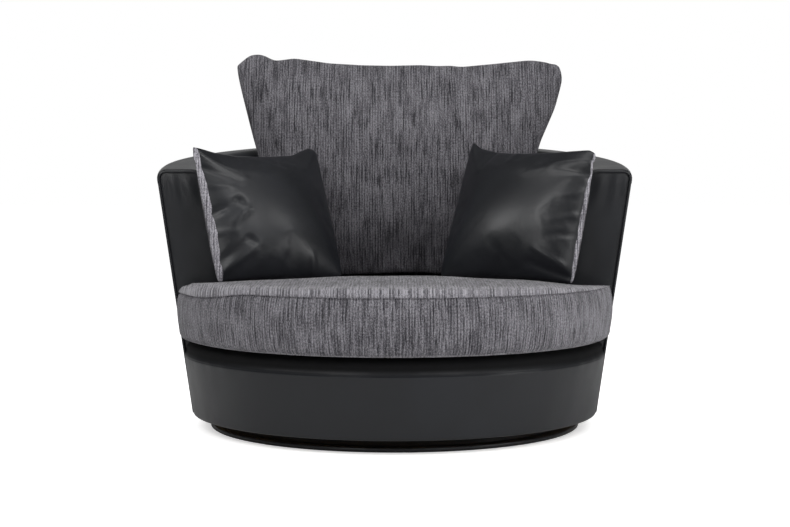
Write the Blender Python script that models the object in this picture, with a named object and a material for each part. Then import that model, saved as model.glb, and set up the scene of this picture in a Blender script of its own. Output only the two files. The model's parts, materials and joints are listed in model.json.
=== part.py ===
"""A two-seater swivel tub chair: flared round shell, boxed seat cushion, pillow back, two scatter cushions.

Metres, +Z up. The swivel axis is the Z axis, the floor is z = 0 and the sitter faces -Y.
A bearing is an angle round the Z axis from +X towards +Y. An inset is a level distance in from
the shell's outer face, which is part of a cone.
"""

import math

import bmesh
import bpy
from mathutils import Matrix, Vector

# Fits
GAP = 0.0003
CURVE_FIT = 0.0014
PRESS_FIT = 0.010
OVERRUN = 0.004

# The cone of the outer face
FOOT_RADIUS = 0.531
FLARE_SHARE = 0.1425
WALL_STEPS = 36
FRONT_STEPS = 30
DISC_STEPS = 44
RACE_STEPS = 32

# The shell's wall
ARM_PLANE_Y = -0.085
RIM_FRONT_Z = 0.6695
RIM_SLOPE_SHARE = 0.114
WALL = 0.125
COVER = 0.003
PANEL = 0.004
WALL_FOAM = 0.038
TOP_FOAM = 0.024
FACING = 0.012
SIDE_SEAM_DROP = 0.036
OUTER_CORNER = 0.025
INNER_CORNER = 0.036
CORNER_STEPS = 3
RAIL = 0.018
RIB = 0.018
RIB_SHARES = (0.32, 0.68)
PIPING_RADIUS = 0.0036
PIPING_PROUD = 0.0015

# The plinth
GLIDE_HEIGHT = 0.0052
GLIDE_RADIUS = 0.013
GLIDE_INSET = 0.0522
PLINTH_SETBACK = 0.0788
PLINTH_BOARD = 0.018
PLINTH_SKIN = 0.0014
PLINTH_WRAP = 0.024
PLINTH_BAND_SETBACK = 0.046
PLINTH_BAND_FOOT = 0.0015
PLINTH_BAND_HEIGHT = 0.0115
PLINTH_BAND_EDGE = 0.003

# The turntable bearing
RACE_PLATE = 0.002
RACE_RING = 0.002
RACE_RADIUS = 0.125
RACE_WIDTH = 0.019
PLATE_RIM = 0.031
PLATE_BORE = 0.060
BALL_RADIUS = 0.004
BALL_COUNT = 6
BALL_STEPS = 10
GROOVE_FLOOR = 0.003
GROOVE_MOUTH = 0.008
CAGE_THICKNESS = 0.0016
SCREW_COUNT = 4
SCREW_RING = 0.0205
SCREW_RADIUS = 0.0022
SCREW_LENGTH = 0.014
HEAD_RADIUS = 0.0048
HEAD_HEIGHT = 0.0028
SCREW_STEPS = 8
PIN_RADIUS = 0.006
PIN_HEAD_RADIUS = 0.012
PIN_HEAD = 0.004
PIN_STEPS = 16
BUSH_WALL = 0.003
BUSH_FLANGE = 0.0022
BUSH_FLANGE_RADIUS = 0.016
NUT_RADIUS = 0.0115
NUT_HEIGHT = 0.006
HEX_SIDES = 6

# The base box under the seat
BASE_BOARD = 0.018
POST_WIDTH = 0.045
POST_HEIGHT = 0.132
POST_INSET = 0.0828
DECK_FRAME = 0.018
DECK_RING = 0.1278
FRONT_FOAM = 0.012
FRONT_CORNER = 0.018
FRONT_ROLL = 0.075
SPRING_WIRE = 0.0018
SPRING_PITCH = 0.080
SPRING_SWING = 0.022
SPRING_REST = 0.022
SPRING_SPACING = 0.16
SPRING_COUNT = 4
DECK_PAD = 0.0225
DECK_CLOTH = 0.0025

# The seat cushion
SEAT_OVERHANG = 0.012
SEAT_EAR_CORNER = 0.034
SEAT_EAR_GAP = 0.016
SEAT_SIDE_GAP = 0.004
SEAT_BORDER = 0.148
SEAT_SHOULDER = 0.0149
SEAT_FULLNESS = 0.007
SEAT_FULL_Y = -0.27
SEAT_FULL_REACH = 0.29
SEAT_DIP = 0.032
SEAT_DIP_START_Y = -0.25
SEAT_DIP_END_Y = 0.22
SEAT_EAR_DIP = 0.0115
SEAT_EAR_START_X = 0.30
SEAT_EAR_END_X = 0.52
SEAT_REST_GAP = 0.0009
SEAT_MIDDLE_Y = -0.20
SEAT_ARC_STEPS = 24
# Each ring: share of the plan's size, of the border's height, and of the way from the seam to the top
SEAT_RING_SHARES = (
    (0.94, 0.0, 0.0),
    (0.985, 0.02, 0.0),
    (1.0, 0.10, 0.0),
    (1.006, 0.45, 0.0),
    (1.002, 0.88, 0.0),
    (0.996, 1.0, 0.0),
    (0.984, 1.0, 0.65),
    (0.955, 1.0, 1.0),
    (0.88, 1.0, 1.0),
    (0.79, 1.0, 1.0),
    (0.70, 1.0, 1.0),
    (0.61, 1.0, 1.0),
    (0.52, 1.0, 1.0),
    (0.42, 1.0, 1.0),
    (0.31, 1.0, 1.0),
    (0.20, 1.0, 1.0),
    (0.09, 1.0, 1.0),
)

# The back cushion
BACK_FOOT_CLEARANCE = 0.158
BACK_SPREAD = 0.164
BACK_HEIGHT = 0.582
BACK_EAR_LIFT = 0.026
BACK_THICKNESS = 0.248
BACK_SETBACK = 0.138
BACK_LEAN = 0.060
BACK_BOW = 0.075
BACK_DRAW = 0.010
BACK_CORNER = 0.016
BACK_COLUMNS = 18
BACK_ROWS = 14
BACK_FRONT_STEPS = 40

# The scatter cushions
SCATTER_LEFT_WIDTH = 0.390
SCATTER_RIGHT_WIDTH = 0.398
SCATTER_TAPER = 0.012
SCATTER_RISE = 0.345
SCATTER_TOP_OUT = 0.084
SCATTER_TOP_BACK = 0.190
SCATTER_THICKNESS = 0.135
SCATTER_DRAW = 0.014
SCATTER_FOOT_YAW = math.radians(27.5)
SCATTER_TOP_YAW = math.radians(36)
SCATTER_LEFT_INSET = 0.1665
SCATTER_RIGHT_INSET = 0.1735
SCATTER_FOOT_Y = -0.105
SCATTER_SINK = 0.012
SCATTER_BACK_GAP = 0.004
SCATTER_SIDES = 14
FULL_POWER_SHARE = 2.3
FULL_ROOT_SHARE = 0.9

# Places that follow the bearing's balls
PLATE_RADIUS = RACE_RADIUS + PLATE_RIM
SCREW_CIRCLE = RACE_RADIUS + SCREW_RING

# Heights, from the floor up
PLINTH_BOTTOM = GLIDE_HEIGHT + GAP
PLINTH_TOP = PLINTH_BOTTOM + PLINTH_BOARD
LOWER_PLATE_BOTTOM = PLINTH_TOP + GAP
LOWER_PLATE_TOP = LOWER_PLATE_BOTTOM + RACE_PLATE
LOWER_RING_TOP = LOWER_PLATE_TOP + RACE_RING
GROOVE_BOTTOM = LOWER_PLATE_TOP + RACE_RING / 4
BALL_Z = GROOVE_BOTTOM + GAP + BALL_RADIUS
UPPER_PLATE_TOP = 2 * BALL_Z - LOWER_PLATE_BOTTOM
BOARD_BOTTOM = UPPER_PLATE_TOP + GAP
BOARD_TOP = BOARD_BOTTOM + BASE_BOARD
DECK_FRAME_BOTTOM = BOARD_TOP + GAP + POST_HEIGHT + GAP
DECK_FRAME_TOP = DECK_FRAME_BOTTOM + DECK_FRAME
SPRING_Z = DECK_FRAME_TOP + GAP + SPRING_WIRE
PAD_BOTTOM = SPRING_Z + SPRING_WIRE + GAP
CLOTH_BOTTOM = PAD_BOTTOM + DECK_PAD + GAP
DECK_TOP = CLOTH_BOTTOM + DECK_CLOTH
SEAT_BOTTOM = DECK_TOP + GAP
SEAT_SEAM = SEAT_BOTTOM + SEAT_BORDER
SEAT_EDGE = SEAT_SEAM + SEAT_SHOULDER
SEAT_TOP = SEAT_EDGE + SEAT_FULLNESS

# Places that follow the cone
PLINTH_RADIUS = FOOT_RADIUS - PLINTH_SETBACK
GLIDE_CIRCLE = PLINTH_RADIUS - GLIDE_INSET
POST_CIRCLE = FOOT_RADIUS - POST_INSET
DECK_OPENING = FOOT_RADIUS - DECK_RING
INNER_AT_SEAT = FOOT_RADIUS + FLARE_SHARE * (SEAT_TOP - BOARD_BOTTOM) - WALL
BACK_FOOT_HALF = INNER_AT_SEAT - BACK_FOOT_CLEARANCE
BACK_TOP_HALF = BACK_FOOT_HALF + BACK_SPREAD
BACK_BOTTOM_Y = INNER_AT_SEAT - BACK_SETBACK
SCATTER_LEFT_X = SCATTER_LEFT_INSET - INNER_AT_SEAT
SCATTER_RIGHT_X = INNER_AT_SEAT - SCATTER_RIGHT_INSET

# Insets of the wall's layers
SKIN = COVER + GAP
PANEL_BACK = SKIN + PANEL
INNER_FOAM_FACE = WALL - SKIN
INNER_PANEL_FACE = INNER_FOAM_FACE - WALL_FOAM - GAP
INNER_PANEL_BACK = INNER_PANEL_FACE - PANEL
FOAM_TOP_DROP = SKIN + TOP_FOAM
FRAME_END_Y = ARM_PLANE_Y + FACING + GAP


def finish(name, colour, roughness, metallic=0.0):
    """A plain shader of one colour."""
    material = bpy.data.materials.new(name)
    material.use_nodes = True
    shader = material.node_tree.nodes["Principled BSDF"]
    shader.inputs["Base Color"].default_value = (*colour, 1.0)
    shader.inputs["Roughness"].default_value = roughness
    shader.inputs["Metallic"].default_value = metallic
    return material


def clear_scene():
    for old in list(bpy.data.objects):
        bpy.data.objects.remove(old)


def empty_at(name, place, parent=None):
    empty = bpy.data.objects.new(name, None)
    bpy.context.scene.collection.objects.link(empty)
    empty.location = place
    empty.parent = parent
    return empty


def add_object(name, data, material, parent, place=(0, 0, 0), turn=0.0):
    made = bpy.data.objects.new(name, data)
    bpy.context.scene.collection.objects.link(made)
    if material and not data.materials:
        data.materials.append(material)
    made.parent = parent
    made.location = place
    made.rotation_euler.z = turn
    return made


def mesh_of(name, vertices, faces, sharp=math.radians(40)):
    """A closed mesh with its faces pointing out, smooth except at its sharp edges."""
    mesh = bpy.data.meshes.new(name)
    mesh.from_pydata(vertices, [], faces)
    work = bmesh.new()
    work.from_mesh(mesh)
    bmesh.ops.recalc_face_normals(work, faces=work.faces)
    if work.calc_volume(signed=True) < 0:
        bmesh.ops.reverse_faces(work, faces=work.faces)
    work.to_mesh(mesh)
    work.free()
    mesh.shade_smooth()
    mesh.set_sharp_from_angle(angle=sharp)
    return mesh


def lathe(name, profile, steps):
    """A turned ring or disc from (radius, height) points. A radius of zero closes on the axis."""
    vertices, rings = [], []
    for radius, height in profile:
        count = steps if radius > 0 else 1
        rings.append(range(len(vertices), len(vertices) + count))
        for step in range(count):
            bearing = 2 * math.pi * step / steps
            vertices.append((radius * math.cos(bearing), radius * math.sin(bearing), height))
    faces = []
    for ring, after in zip(rings, rings[1:] + rings[:1]):
        for step in range(steps):
            corners = [ring[step % len(ring)], ring[(step + 1) % len(ring)]]
            corners += [after[(step + 1) % len(after)], after[step % len(after)]]
            corners = list(dict.fromkeys(corners))
            if len(corners) > 2:
                faces.append(corners)
    return mesh_of(name, vertices, faces)


def cut_holes(target, name, radius, bottom, top, places, steps):
    """Bores a round hole of this radius through the target at each place."""
    work = bmesh.new()
    for x, y in places:
        bmesh.ops.create_cone(
            work,
            cap_ends=True,
            segments=steps,
            radius1=radius,
            radius2=radius,
            depth=top - bottom,
            matrix=Matrix.Translation((x, y, (top + bottom) / 2)),
        )
    mesh = bpy.data.meshes.new(name)
    work.to_mesh(mesh)
    work.free()
    cutter = add_object(name, mesh, None, target.parent)
    cutter.hide_render = True
    cutter.display_type = "WIRE"
    boolean = target.modifiers.new(name, "BOOLEAN")
    boolean.object = cutter
    boolean.operation = "DIFFERENCE"


def circle_places(radius, count, start=0.0):
    turns = [start + 2 * math.pi * step / count for step in range(count)]
    return [(radius * math.cos(turn), radius * math.sin(turn)) for turn in turns]


def outer_radius(height):
    return FOOT_RADIUS + FLARE_SHARE * (height - BOARD_BOTTOM)


def inner_radius(height):
    return outer_radius(height) - WALL


def wall_bearing(radius, share, plane_y):
    """From the right arm's end, share 0, round the back to the left arm's end, share 1."""
    first = math.asin(plane_y / radius)
    return first + share * (math.pi - 2 * first)


def front_bearing(radius, share, plane_y):
    """From the right arm's end, share 0, round the front to the left arm's end, share 1."""
    first = math.asin(plane_y / radius)
    return first - share * (math.pi + 2 * first)


def rim_at(y):
    return RIM_FRONT_Z + RIM_SLOPE_SHARE * (y - ARM_PLANE_Y)


def rim_height(share, plane_y):
    """The rim rises from the arms' ends to the back."""
    radius = inner_radius(RIM_FRONT_Z) + WALL / 2
    return rim_at(radius * math.sin(wall_bearing(radius, share, plane_y)))


def floor_point(inset, height):
    return inset, 0.0, height


def rim_point(inset, drop):
    return inset, 1.0, -drop


def rim_corner(inset, drop, radius, first, last):
    """Points of a rounded corner about a centre that hangs below the rim."""
    points = []
    for step in range(CORNER_STEPS + 1):
        turn = math.radians(first + (last - first) * step / CORNER_STEPS)
        points.append(rim_point(inset - radius * math.cos(turn), drop - radius * math.sin(turn)))
    return points


def shell_point(point, share, plane_y, bearing_of=wall_bearing):
    inset, rim_part, height = point
    z = rim_part * rim_height(share, plane_y) + height
    radius = outer_radius(z) - inset
    bearing = bearing_of(radius, share, plane_y)
    return radius * math.cos(bearing), radius * math.sin(bearing), z


def level(point):
    """Orders wall points from the floor up, and at one height from the outside in."""
    inset, rim_part, height = point
    return rim_part, round(height, 6), inset


def sweep(name, profile, stations, bearing_of=wall_bearing):
    """Carries a closed profile of wall points through (share, end plane) stations, and caps both ends.

    Each twisted face is split from its lower corner at one station to its upper one at the next,
    so that layers lying against each other are split alike.
    """
    count = len(profile)
    vertices = [
        shell_point(point, share, plane_y, bearing_of) for share, plane_y in stations for point in profile
    ]
    faces = [list(range(count)), list(range(len(vertices) - count, len(vertices)))]
    for ring in range(len(stations) - 1):
        for step in range(count):
            after = (step + 1) % count
            a, b = ring * count + step, ring * count + after
            if level(profile[step]) > level(profile[after]):
                a, b = b, a
            faces.append([a, b, b + count])
            faces.append([a, b + count, a + count])
    return mesh_of(name, vertices, faces)


def whole_wall(plane_y, steps=WALL_STEPS):
    return [(step / steps, plane_y) for step in range(steps + 1)]


def over_the_top(depth):
    """The wall's rounded outline at this depth under its face, from the outside over to the inside."""
    outer, inner = OUTER_CORNER - depth, INNER_CORNER - depth
    return rim_corner(OUTER_CORNER, OUTER_CORNER, outer, 0, 90) + rim_corner(
        WALL - INNER_CORNER, INNER_CORNER, inner, 90, 180
    )


def plinth(finishes, body):
    board = [
        (PIN_RADIUS + GAP, PLINTH_TOP),
        (PLINTH_RADIUS, PLINTH_TOP),
        (PLINTH_RADIUS, PLINTH_BOTTOM),
        (PIN_HEAD_RADIUS + GAP, PLINTH_BOTTOM),
        (PIN_HEAD_RADIUS + GAP, PLINTH_BOTTOM + PIN_HEAD + 2 * GAP),
        (PIN_RADIUS + GAP, PLINTH_BOTTOM + PIN_HEAD + 2 * GAP),
    ]
    board = add_object("plinth_board", lathe("plinth_board", board, DISC_STEPS), finishes["board"], body)
    cut_holes(
        board,
        "plinth_screw_holes",
        SCREW_RADIUS + GAP,
        LOWER_PLATE_TOP - SCREW_LENGTH - GAP,
        PLINTH_TOP + OVERRUN,
        circle_places(SCREW_CIRCLE, SCREW_COUNT),
        SCREW_STEPS,
    )
    inside = PLINTH_RADIUS + GAP
    outside = inside + PLINTH_SKIN
    wrap = inside - PLINTH_WRAP
    band = FOOT_RADIUS - PLINTH_BAND_SETBACK
    band_top = PLINTH_BAND_FOOT + PLINTH_BAND_HEIGHT
    skin = [
        (wrap, PLINTH_TOP + GAP),
        (wrap, PLINTH_TOP + GAP + PLINTH_SKIN),
        (outside, PLINTH_TOP + GAP + PLINTH_SKIN),
        (outside, band_top),
        (band - PLINTH_BAND_EDGE, band_top),
        (band, band_top - PLINTH_BAND_EDGE),
        (band, PLINTH_BAND_FOOT + PLINTH_BAND_EDGE),
        (band - PLINTH_BAND_EDGE, PLINTH_BAND_FOOT),
        (inside, PLINTH_BAND_FOOT),
        (inside, PLINTH_BOTTOM - GAP - PLINTH_SKIN),
        (wrap, PLINTH_BOTTOM - GAP - PLINTH_SKIN),
        (wrap, PLINTH_BOTTOM - GAP),
        (inside, PLINTH_BOTTOM - GAP),
        (inside, PLINTH_TOP + GAP),
    ]
    add_object("plinth_cover", lathe("plinth_cover", skin, DISC_STEPS), finishes["black_leather"], body)
    chamfer = GLIDE_HEIGHT / 4
    glide = [
        (0, GLIDE_HEIGHT),
        (GLIDE_RADIUS, GLIDE_HEIGHT),
        (GLIDE_RADIUS, chamfer),
        (GLIDE_RADIUS - chamfer, 0),
        (0, 0),
    ]
    glide = lathe("glide", glide, PIN_STEPS)
    names = ("glide_front_right", "glide_back_right", "glide_back_left", "glide_front_left")
    for name, (x, y) in zip(names, circle_places(GLIDE_CIRCLE, len(names), -math.pi / 4)):
        add_object(name, glide, finishes["black_plastic"], body, (x, y, 0))
    add_object("glide_centre", glide, finishes["black_plastic"], body)


def race_profile(side):
    """Half of the bearing, side 1 below the balls and -1 above them, as a plate with a grooved ring."""

    def at(height):
        return BALL_Z + side * (height - BALL_Z)

    inner = RACE_RADIUS - RACE_WIDTH / 2
    outer = RACE_RADIUS + RACE_WIDTH / 2
    return [
        (PLATE_BORE, at(LOWER_PLATE_TOP)),
        (inner, at(LOWER_PLATE_TOP)),
        (inner, at(LOWER_RING_TOP)),
        (RACE_RADIUS - GROOVE_MOUTH / 2, at(LOWER_RING_TOP)),
        (RACE_RADIUS - GROOVE_FLOOR / 2, at(GROOVE_BOTTOM)),
        (RACE_RADIUS + GROOVE_FLOOR / 2, at(GROOVE_BOTTOM)),
        (RACE_RADIUS + GROOVE_MOUTH / 2, at(LOWER_RING_TOP)),
        (outer, at(LOWER_RING_TOP)),
        (outer, at(LOWER_PLATE_TOP)),
        (PLATE_RADIUS, at(LOWER_PLATE_TOP)),
        (PLATE_RADIUS, at(LOWER_PLATE_BOTTOM)),
        (PLATE_BORE, at(LOWER_PLATE_BOTTOM)),
    ]


def screw_mesh(side):
    """A pan-head screw whose head rests on z = 0: side 1 points down, -1 points up."""
    profile = [
        (0, side * HEAD_HEIGHT),
        (HEAD_RADIUS * 0.6, side * HEAD_HEIGHT),
        (HEAD_RADIUS, side * HEAD_HEIGHT / 3),
        (HEAD_RADIUS, 0),
        (SCREW_RADIUS, 0),
        (SCREW_RADIUS, -side * (SCREW_LENGTH - SCREW_RADIUS)),
        (0, -side * SCREW_LENGTH),
    ]
    return lathe("screw", profile, SCREW_STEPS)


def bearing_unit(finishes, plinth_body, cage_body, seat_body):
    """The turntable: two grooved plates with caged balls between them, each plate screwed to its board."""
    turned = math.pi / SCREW_COUNT
    halves = (
        ("lower", 1, plinth_body, LOWER_PLATE_BOTTOM, LOWER_PLATE_TOP, 0.0),
        ("upper", -1, seat_body, 2 * BALL_Z - LOWER_PLATE_TOP, UPPER_PLATE_TOP, turned),
    )
    for word, side, body, bottom, top, start in halves:
        name = f"swivel_{word}_race"
        plate = add_object(name, lathe(name, race_profile(side), RACE_STEPS), finishes["steel"], body)
        places = circle_places(SCREW_CIRCLE, SCREW_COUNT, start)
        low, high = bottom - OVERRUN, top + OVERRUN
        cut_holes(plate, f"{word}_race_holes", SCREW_RADIUS + GAP, low, high, places, SCREW_STEPS)
        seat = top + GAP if side > 0 else bottom - GAP
        screw = screw_mesh(side)
        for number, (x, y) in enumerate(places, 1):
            add_object(f"{word}_race_screw_{number}", screw, finishes["zinc"], body, (x, y, seat))
    half = RACE_WIDTH / 2
    cage = [
        (RACE_RADIUS - half, BALL_Z + CAGE_THICKNESS / 2),
        (RACE_RADIUS + half, BALL_Z + CAGE_THICKNESS / 2),
        (RACE_RADIUS + half, BALL_Z - CAGE_THICKNESS / 2),
        (RACE_RADIUS - half, BALL_Z - CAGE_THICKNESS / 2),
    ]
    cage = add_object("ball_cage", lathe("ball_cage", cage, RACE_STEPS), finishes["nylon"], cage_body)
    places = circle_places(RACE_RADIUS, BALL_COUNT)
    cut_holes(
        cage,
        "ball_pockets",
        BALL_RADIUS + GAP,
        BALL_Z - OVERRUN,
        BALL_Z + OVERRUN,
        places,
        BALL_STEPS,
    )
    arc = [math.pi * step / (BALL_STEPS // 2) for step in range(BALL_STEPS // 2 + 1)]
    ball = [(BALL_RADIUS * math.sin(turn), BALL_RADIUS * math.cos(turn)) for turn in arc]
    ball[0], ball[-1] = (0, BALL_RADIUS), (0, -BALL_RADIUS)
    ball = lathe("ball", ball, BALL_STEPS)
    for number, (x, y) in enumerate(places, 1):
        add_object(f"bearing_ball_{number}", ball, finishes["steel"], cage_body, (x, y, BALL_Z))


def centre_pin(finishes, plinth_body, seat_body):
    bush_radius = PIN_RADIUS + GAP + BUSH_WALL
    flange_top = BOARD_TOP + GAP + BUSH_FLANGE
    pin_bottom = PLINTH_BOTTOM + GAP
    pin_top = flange_top + 2 * GAP + NUT_HEIGHT + PIN_RADIUS / 3
    pin = [
        (0, pin_top),
        (PIN_RADIUS, pin_top),
        (PIN_RADIUS, pin_bottom + PIN_HEAD),
        (PIN_HEAD_RADIUS, pin_bottom + PIN_HEAD),
        (PIN_HEAD_RADIUS, pin_bottom),
        (0, pin_bottom),
    ]
    add_object("swivel_centre_pin", lathe("swivel_centre_pin", pin, PIN_STEPS), finishes["zinc"], plinth_body)
    bore = (PIN_RADIUS + GAP) / math.cos(math.pi / HEX_SIDES)
    nut = [
        (bore, flange_top + GAP + NUT_HEIGHT),
        (NUT_RADIUS, flange_top + GAP + NUT_HEIGHT),
        (NUT_RADIUS, flange_top + GAP),
        (bore, flange_top + GAP),
    ]
    add_object("swivel_pin_nut", lathe("swivel_pin_nut", nut, HEX_SIDES), finishes["zinc"], plinth_body)
    bush = [
        (PIN_RADIUS + GAP, flange_top),
        (BUSH_FLANGE_RADIUS, flange_top),
        (BUSH_FLANGE_RADIUS, BOARD_TOP + GAP),
        (bush_radius, BOARD_TOP + GAP),
        (bush_radius, BOARD_BOTTOM),
        (PIN_RADIUS + GAP, BOARD_BOTTOM),
    ]
    add_object("swivel_bush", lathe("swivel_bush", bush, PIN_STEPS), finishes["nylon"], seat_body)


def base_box(finishes, body):
    """The board that turns on the bearing, and the posts and ring that carry the seat deck."""
    bore = PIN_RADIUS + GAP + BUSH_WALL + GAP
    edge = COVER + CURVE_FIT
    board = [
        (bore, BOARD_TOP),
        (outer_radius(BOARD_TOP) - edge, BOARD_TOP),
        (outer_radius(BOARD_BOTTOM) - edge, BOARD_BOTTOM),
        (bore, BOARD_BOTTOM),
    ]
    board = add_object("base_board", lathe("base_board", board, DISC_STEPS), finishes["board"], body)
    cut_holes(
        board,
        "base_screw_holes",
        SCREW_RADIUS + GAP,
        BOARD_BOTTOM - OVERRUN,
        UPPER_PLATE_TOP - RACE_PLATE + SCREW_LENGTH + GAP,
        circle_places(SCREW_CIRCLE, SCREW_COUNT, math.pi / SCREW_COUNT),
        SCREW_STEPS,
    )
    half = POST_WIDTH / 2
    low, high = BOARD_TOP + GAP, BOARD_TOP + GAP + POST_HEIGHT
    corners = [(half, half), (-half, half), (-half, -half), (half, -half)]
    vertices = [(x, y, z) for z in (low, high) for x, y in corners]
    faces = [[0, 1, 2, 3], [4, 5, 6, 7]]
    faces += [[n, (n + 1) % 4, (n + 1) % 4 + 4, n + 4] for n in range(4)]
    post = mesh_of("deck_post", vertices, faces)
    names = ("front_right", "back_right", "back_left", "front_left")
    for number, (x, y) in enumerate(circle_places(POST_CIRCLE, len(names), -math.pi / 4)):
        turn = math.atan2(y, x)
        add_object(f"deck_post_{names[number]}", post, finishes["timber"], body, (x, y, 0), turn)
    ring_edge = SKIN + FRONT_FOAM + GAP + PANEL + CURVE_FIT
    ring = [
        (DECK_OPENING, DECK_FRAME_TOP),
        (outer_radius(DECK_FRAME_BOTTOM) - ring_edge, DECK_FRAME_TOP),
        (outer_radius(DECK_FRAME_BOTTOM) - ring_edge, DECK_FRAME_BOTTOM),
        (DECK_OPENING, DECK_FRAME_BOTTOM),
    ]
    add_object("deck_frame", lathe("deck_frame", ring, DISC_STEPS), finishes["board"], body)


def base_front(finishes, body):
    """The padded front of the drum, from arm to arm below the seat."""
    plane = ARM_PLANE_Y - GAP
    stations = [(step / FRONT_STEPS, plane) for step in range(FRONT_STEPS + 1)]

    def corner(depth):
        points = []
        for step in range(CORNER_STEPS):
            turn = math.pi / 2 * step / (CORNER_STEPS - 1)
            radius = FRONT_CORNER - depth
            inset = FRONT_CORNER - radius * math.cos(turn)
            points.append(floor_point(inset, DECK_TOP - FRONT_CORNER + radius * math.sin(turn)))
        return points

    cover = [floor_point(0, BOARD_BOTTOM), *corner(0), floor_point(FRONT_ROLL, DECK_TOP)]
    cover += [floor_point(FRONT_ROLL, DECK_TOP - COVER), *reversed(corner(COVER))]
    cover.append(floor_point(COVER, BOARD_BOTTOM))
    foam_back = SKIN + FRONT_FOAM
    foam = [floor_point(SKIN, BOARD_TOP + GAP), *corner(SKIN), floor_point(FRONT_ROLL, DECK_TOP - SKIN)]
    foam += [floor_point(FRONT_ROLL, DECK_FRAME_TOP + GAP), floor_point(foam_back, DECK_FRAME_TOP + GAP)]
    foam.append(floor_point(foam_back, BOARD_TOP + GAP))
    panel_face, panel_back = foam_back + GAP, foam_back + GAP + PANEL
    panel = [floor_point(panel_face, BOARD_TOP + GAP), floor_point(panel_face, DECK_FRAME_TOP)]
    panel += [floor_point(panel_back, DECK_FRAME_TOP), floor_point(panel_back, BOARD_TOP + GAP)]
    for name, profile, key in (
        ("base_front_cover", cover, "black_leather"),
        ("base_front_foam", foam, "foam"),
        ("base_front_panel", panel, "hardboard"),
    ):
        add_object(name, sweep(name, profile, stations, front_bearing), finishes[key], body)


def tub_plan(front_radius, rear_radius, step_y, corner=0.0, steps=SEAT_ARC_STEPS):
    """A round plan, wide in front of the arms and narrower between them, anticlockwise from the right."""
    points = []
    rear = math.asin(step_y / rear_radius)
    for step in range(steps + 1):
        bearing = rear + (math.pi - 2 * rear) * step / steps
        points.append((rear_radius * math.cos(bearing), rear_radius * math.sin(bearing)))
    centre_y = step_y - corner
    centre_x = math.sqrt((front_radius - corner) ** 2 - centre_y**2)
    swing = math.atan2(centre_y, centre_x)
    ear = []
    if corner > 0:
        for step in range(CORNER_STEPS + 1):
            turn = swing + (math.pi / 2 - swing) * step / CORNER_STEPS
            ear.append((centre_x + corner * math.cos(turn), centre_y + corner * math.sin(turn)))
    else:
        ear.append((centre_x, centre_y))
    front = []
    for step in range(1, steps):
        bearing = -math.pi - swing + (math.pi + 2 * swing) * step / steps
        front.append((front_radius * math.cos(bearing), front_radius * math.sin(bearing)))
    return points + [(-x, y) for x, y in reversed(ear)] + front + ear


def slab(name, plan, bottom, top):
    count = len(plan)
    vertices = [(x, y, z) for z in (bottom, top) for x, y in plan]
    faces = [list(range(count)), list(range(count, 2 * count))]
    for step in range(count):
        after = (step + 1) % count
        faces.append([step, after, after + count, step + count])
    return mesh_of(name, vertices, faces)


def spring_object(name, x, material, body):
    """One zigzag wire spring, laid front to back over the deck's opening."""
    reach = math.sqrt(DECK_OPENING**2 - x**2)
    waves = round(2 * reach / (SPRING_PITCH / 2))
    pitch = 2 * reach / waves
    points = [(x, -reach - SPRING_REST)]
    for wave in range(waves):
        side = SPRING_SWING if wave % 2 else -SPRING_SWING
        for share in (0.2, 0.5, 0.8):
            swing = side * math.sin(math.pi * share) ** 0.5
            points.append((x + swing, -reach + (wave + share) * pitch))
    points.append((x, reach + SPRING_REST))
    curve = bpy.data.curves.new(name, "CURVE")
    curve.dimensions = "3D"
    curve.bevel_depth = SPRING_WIRE
    curve.bevel_resolution = 0
    curve.use_fill_caps = True
    spline = curve.splines.new("POLY")
    spline.points.add(len(points) - 1)
    for knot, (across, along) in zip(spline.points, points):
        knot.co = (across, along, SPRING_Z, 1)
    add_object(name, curve, material, body)


def seat_deck(finishes, body):
    for number in range(SPRING_COUNT):
        x = (number - (SPRING_COUNT - 1) / 2) * SPRING_SPACING
        spring_object(f"zigzag_spring_{number + 1}", x, finishes["steel"], body)
    front = outer_radius(DECK_FRAME_TOP) - FRONT_ROLL - CURVE_FIT
    rear = inner_radius(DECK_FRAME_TOP) - CURVE_FIT
    plan = tub_plan(front, rear, ARM_PLANE_Y - CURVE_FIT)
    pad = slab("deck_pad", plan, PAD_BOTTOM, PAD_BOTTOM + DECK_PAD)
    add_object("deck_pad", pad, finishes["felt"], body)
    cloth = slab("platform_cloth", plan, CLOTH_BOTTOM, DECK_TOP)
    add_object("platform_cloth", cloth, finishes["black_cloth"], body)


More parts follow.
